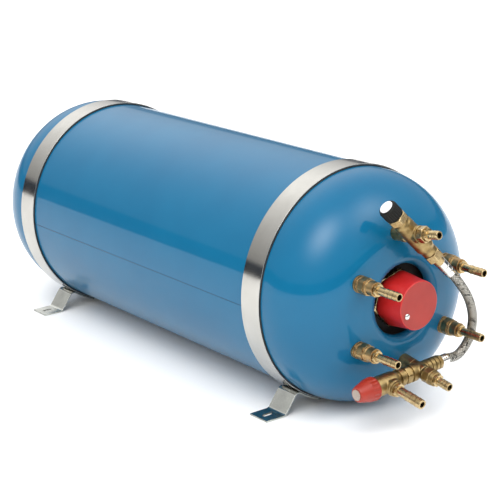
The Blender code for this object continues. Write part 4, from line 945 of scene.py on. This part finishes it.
def make_relief_cap():
    """A cap with grips round its foot and a cone above them. It turns on the valve's own axis."""
    low, high = span("relief_cap", RELIEF)
    roof = high - 6 * MM
    cap = [(low, CAP_HOLLOW), (low, CAP_RADIUS - 1.4 * MM), (low + 3 * MM, CAP_RADIUS),
           (low + 15 * MM, CAP_RADIUS - MM), (low + 16.5 * MM, CAP_RADIUS - 1.8 * MM),
           (high - 3 * MM, CAP_TOP_RADIUS + 1.4 * MM), (high, CAP_TOP_RADIUS), (high, 0),
           (roof, 0), (roof, CAP_HOLLOW)]
    turned("orange_cap", cap, RELIEF, ORANGE, ["relief_cap"], "relief_cap", 144,
           grips(CAP_RIDGES, CAP_RIDGE_DEPTH, low + 2.5 * MM, low + 15.5 * MM))
    low, high = span("relief_cap_disc", RELIEF)
    dimple = high - 0.5 * MM
    disc = [(low, 0), (low, CAP_DISC_RADIUS), (high, CAP_DISC_RADIUS), (high, 5 * MM),
            (dimple, 4.4 * MM), (dimple, 0)]
    turned("cap_disc", disc, RELIEF, GREY, ["relief_cap_disc"], "relief_cap", soft=0.25 * MM)


make_manifold()
make_check_valve()
make_relief_valve()
make_relief_cap()


# ---- Braided hose, along the route that the CAD model also follows.

HOSE_RADIUS = 8 * MM
HOSE_LEAD = 16 * MM
HOSE_SIDES = 48
BRAID_PITCH = 4.2 * MM
FERRULE_LENGTH = 15 * MM
HOSE_ROUTE = [  # (y, z) from the tank's axis, between the two straight leads
    (100 * MM, 0 * MM),
    (114 * MM, -27 * MM),
    (119 * MM, -51 * MM),
    (116 * MM, -75 * MM),
    (106 * MM, -93 * MM),
    (88 * MM, -106 * MM),
]


def smooth_route(route, spacing):
    """Points along a smooth curve through every point of the route."""
    ends = [2 * route[0] - route[1]] + route + [2 * route[-1] - route[-2]]
    points = []
    for before, start, end, after in zip(ends, ends[1:], ends[2:], ends[3:]):
        count = max(1, round((end - start).length / spacing))
        for step in range(count):
            t = step / count
            points.append(0.5 * (2 * start + (end - before) * t
                          + (2 * before - 5 * start + 4 * end - after) * t * t
                          + (3 * start - before - 3 * end + after) * t ** 3))
    return points + [route[-1]]


def hose_mesh(points):
    """A round hose along the points, closed at both ends, and each ring's distance from the start."""
    radius = HOSE_RADIUS - 0.1 * MM
    normal = (points[1] - points[0]).orthogonal().normalized()
    vertices, lengths, travelled = [], [], 0.0
    for place, point in enumerate(points):
        way = (points[min(place + 1, len(points) - 1)] - points[max(place - 1, 0)]).normalized()
        normal = (normal - way * normal.dot(way)).normalized()
        side = way.cross(normal)
        travelled += (point - points[max(place - 1, 0)]).length
        lengths.append(travelled)
        for step in range(HOSE_SIDES):
            turn = math.tau * step / HOSE_SIDES
            vertices.append(point + (normal * math.cos(turn) + side * math.sin(turn)) * radius)
    last = len(vertices) - HOSE_SIDES
    faces = [list(range(HOSE_SIDES))[::-1], [last + step for step in range(HOSE_SIDES)]]
    for low in range(0, last, HOSE_SIDES):
        for step in range(HOSE_SIDES):
            after = (step + 1) % HOSE_SIDES
            faces.append([low + step, low + after, low + HOSE_SIDES + after, low + HOSE_SIDES + step])
    mesh = bpy.data.meshes.new("wire_hose")
    mesh.from_pydata(vertices, [], faces)
    return mesh, lengths


def lay_braid(mesh, lengths):
    """UVs for the weave: X counts pitches along the hose, and Y goes once round it."""
    layer = mesh.uv_layers.new(name="braid")
    for face in mesh.polygons:
        steps = [mesh.loops[loop].vertex_index % HOSE_SIDES for loop in face.loop_indices]
        wraps = 0 in steps and HOSE_SIDES - 1 in steps
        for loop, step in zip(face.loop_indices, steps):
            ring = mesh.loops[loop].vertex_index // HOSE_SIDES
            around = 1.0 if wraps and step == 0 else step / HOSE_SIDES
            layer.data[loop].uv = (lengths[ring] / BRAID_PITCH, around)


def make_hose():
    upper = span("hose_ferrule_upper", MIXER)[1] + GAP
    lower = span("hose_adapter_lower", RELIEF)[0] - GAP
    start, end = MIXER @ Vector((upper, 0, 0)), RELIEF @ Vector((lower, 0, 0))
    route = [start, MIXER @ Vector((upper + HOSE_LEAD, 0, 0))]
    for knot, (y, z) in enumerate(HOSE_ROUTE, 1):
        share = knot / (len(HOSE_ROUTE) + 1)
        route.append(Vector((start.x + (end.x - start.x) * share, y, TANK.translation.z + z)))
    route += [RELIEF @ Vector((lower - HOSE_LEAD, 0, 0)), end]
    points = smooth_route(route, 0.3 * HOSE_RADIUS)
    mesh, lengths = hose_mesh(points)
    lay_braid(mesh, lengths)
    hose = from_mesh("wire_hose", mesh, Matrix(), BRAID, "tank", ["braided_hose"])
    mesh.set_sharp_from_angle(angle=math.radians(60))


def ferrule_profile(start, end):
    """A crimped sleeve with two grooves."""
    bore, land, groove = 8.1 * MM, 9.3 * MM, 8.9 * MM
    shares = [(0.0, bore), (0.0, land)]
    for place in (0.30, 0.62):
        shares += [(place, land), (place + 0.02, groove), (place + 0.06, groove), (place + 0.08, land)]
    shares += [(0.96, land), (1.0, 8.6 * MM), (1.0, bore)]
    return [(between(start, end, share), radius) for share, radius in shares]


def make_ferrules():
    low, high = span("hose_ferrule_upper", MIXER)
    turned("upper_ferrule", ferrule_profile(low, high), MIXER, SILVER, ["hose_ferrule_upper"],
           soft=0.3 * MM)
    lower = span("hose_adapter_lower", RELIEF)[0] - GAP
    turned("lower_ferrule", ferrule_profile(lower, lower - FERRULE_LENGTH), RELIEF, SILVER,
           soft=0.3 * MM)


make_hose()
make_ferrules()


# ---- Springs, squeezed between the casing and the piece they push on.

def make_spring(node):
    """A copy of the CAD spring, in bright steel, set in place in the world."""
    mesh = frame["nodes"][node].data.copy()
    mesh.shade_smooth()
    mesh.materials.clear()
    mesh.materials.append(SILVER)
    piece = add_object(node + "_wire", mesh)
    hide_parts(node)
    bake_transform(piece)


make_spring("check_valve_spring")
make_spring("relief_spring")


# ---- CAD nodes that keep their shape and get a finished surface.

KEPT = {
    PAINTED_SHADE_FOAM: ["insulation"],
    COPPER: ["inner_vessel", "coil_outer", "coil_inner", "heater_boss", "heater_element",
             "thermostat_pocket"],
    RUBBER: ["heater_gasket"],
    TURNED_BRASS: ["mixer_piston", "relief_stem"],
    SILVER: ["mixer_spindle", "strap_bolt_left", "strap_bolt_right"],
    BLACK: ["check_valve_poppet", "terminal_block"],
    WHITE: ["thermostat_body"],
    ORANGE: ["thermostat_dial"],
}
for material, nodes in KEPT.items():
    for node in nodes:
        slots = frame["nodes"][node].data.materials
        slots.clear()
        slots.append(material)


# ---- Floor, light and surroundings.

FLOOR_REACH = 14  # metres from the middle to each edge
SKY = [  # (height from 0 at the horizon to 1 overhead, colour)
    (0.0, (0.02, 0.02, 0.03)),
    (0.13, (0.03, 0.05, 0.08)),
    (0.16, (0.50, 0.50, 0.50)),
    (0.9, (1.0, 1.0, 1.0)),
]
GLOWS = [  # (direction, sharpness, strength)
    ((0.35, -0.50, 0.79), 22.0, 7.5),
    ((0.52, 0.30, 0.79), 20.0, 4.0),
    ((-0.75, 0.20, 0.62), 8.0, 1.1),
]
LAMPS = [  # (name, place, what it points at, size, watts)
    ("overhead", (-0.4, 0.4, 3.4), (-0.4, 0.4, 0.0), (5.0, 5.0), 20),
    ("left_front", (0.6, -3.2, 1.9), (0.2, 0.0, 0.2), (1.6, 1.2), 24),
    ("end_front", (3.4, 0.4, 1.6), (0.4, 0.0, 0.2), (1.4, 1.0), 14),
]


def make_floor():
    mesh = bpy.data.meshes.new("floor")
    reach = FLOOR_REACH
    corners = [(-reach, -reach, 0), (reach, -reach, 0), (reach, reach, 0), (-reach, reach, 0)]
    mesh.from_pydata(corners, [], [(0, 1, 2, 3)])
    floor = add_object("floor", mesh)
    mesh.materials.append(look("pale_floor", [(0.3, (0.90, 0.90, 0.90)), (0.7, (0.93, 0.93, 0.93))],
                               (0.85, 0.95), blotch=0.8, grain=60.0, depth=0.05 * MM))


def soft_light(name, spot, target, size, power):
    """An area lamp that lights surfaces and isn't seen in reflections."""
    data = bpy.data.lights.new(name, "AREA")
    data.shape = "RECTANGLE"
    data.size, data.size_y = size
    data.energy = power
    lamp = add_object(name, data)
    lamp.location = spot
    lamp.visible_glossy = False
    lamp.rotation_euler = (Vector(target) - Vector(spot)).to_track_quat("-Z", "Y").to_euler()


def glow(tree, direction, way, sharpness, strength):
    """A soft-edged bright patch of the surroundings, brightest towards way."""
    dot = tree.nodes.new("ShaderNodeVectorMath")
    dot.operation = "DOT_PRODUCT"
    dot.inputs[1].default_value = Vector(way).normalized()
    link(tree, direction, dot.inputs[0])
    value = dot.outputs["Value"]
    for operation, number in (("MAXIMUM", 0.0), ("POWER", sharpness), ("MULTIPLY", strength)):
        value = maths(tree, operation, value, number)
    return value


def make_surroundings():
    """A room, dark at the horizon and bright overhead, with soft patches of light.

    It lights the pieces and shows in their gloss. The camera itself sees plain white.
    """
    world = bpy.data.worlds.new("studio")
    bpy.context.scene.world = world
    world.use_nodes = True
    tree = world.node_tree
    ground = tree.nodes["Background"]
    coords = tree.nodes.new("ShaderNodeTexCoord")
    direction = coords.outputs["Generated"]
    split = tree.nodes.new("ShaderNodeSeparateXYZ")
    link(tree, direction, split.inputs["Vector"])
    light = ramp(tree, split.outputs["Z"], SKY)
    for way, sharpness, strength in GLOWS:
        total = tree.nodes.new("ShaderNodeVectorMath")
        total.operation = "ADD"
        link(tree, light, total.inputs[0])
        link(tree, glow(tree, direction, way, sharpness, strength), total.inputs[1])
        light = total.outputs["Vector"]
    rays = tree.nodes.new("ShaderNodeLightPath")
    mix = tree.nodes.new("ShaderNodeMix")
    mix.data_type = "RGBA"
    link(tree, rays.outputs["Is Camera Ray"], mix.inputs["Factor"])
    link(tree, light, mix.inputs["A"])
    mix.inputs["B"].default_value = (1, 1, 1, 1)
    link(tree, mix.outputs["Result"], ground.inputs["Color"])
    ground.inputs["Strength"].default_value = 1.0


make_floor()
make_surroundings()
for lamp in LAMPS:
    soft_light(*lamp)
bpy.context.scene.view_settings.view_transform = "Standard"
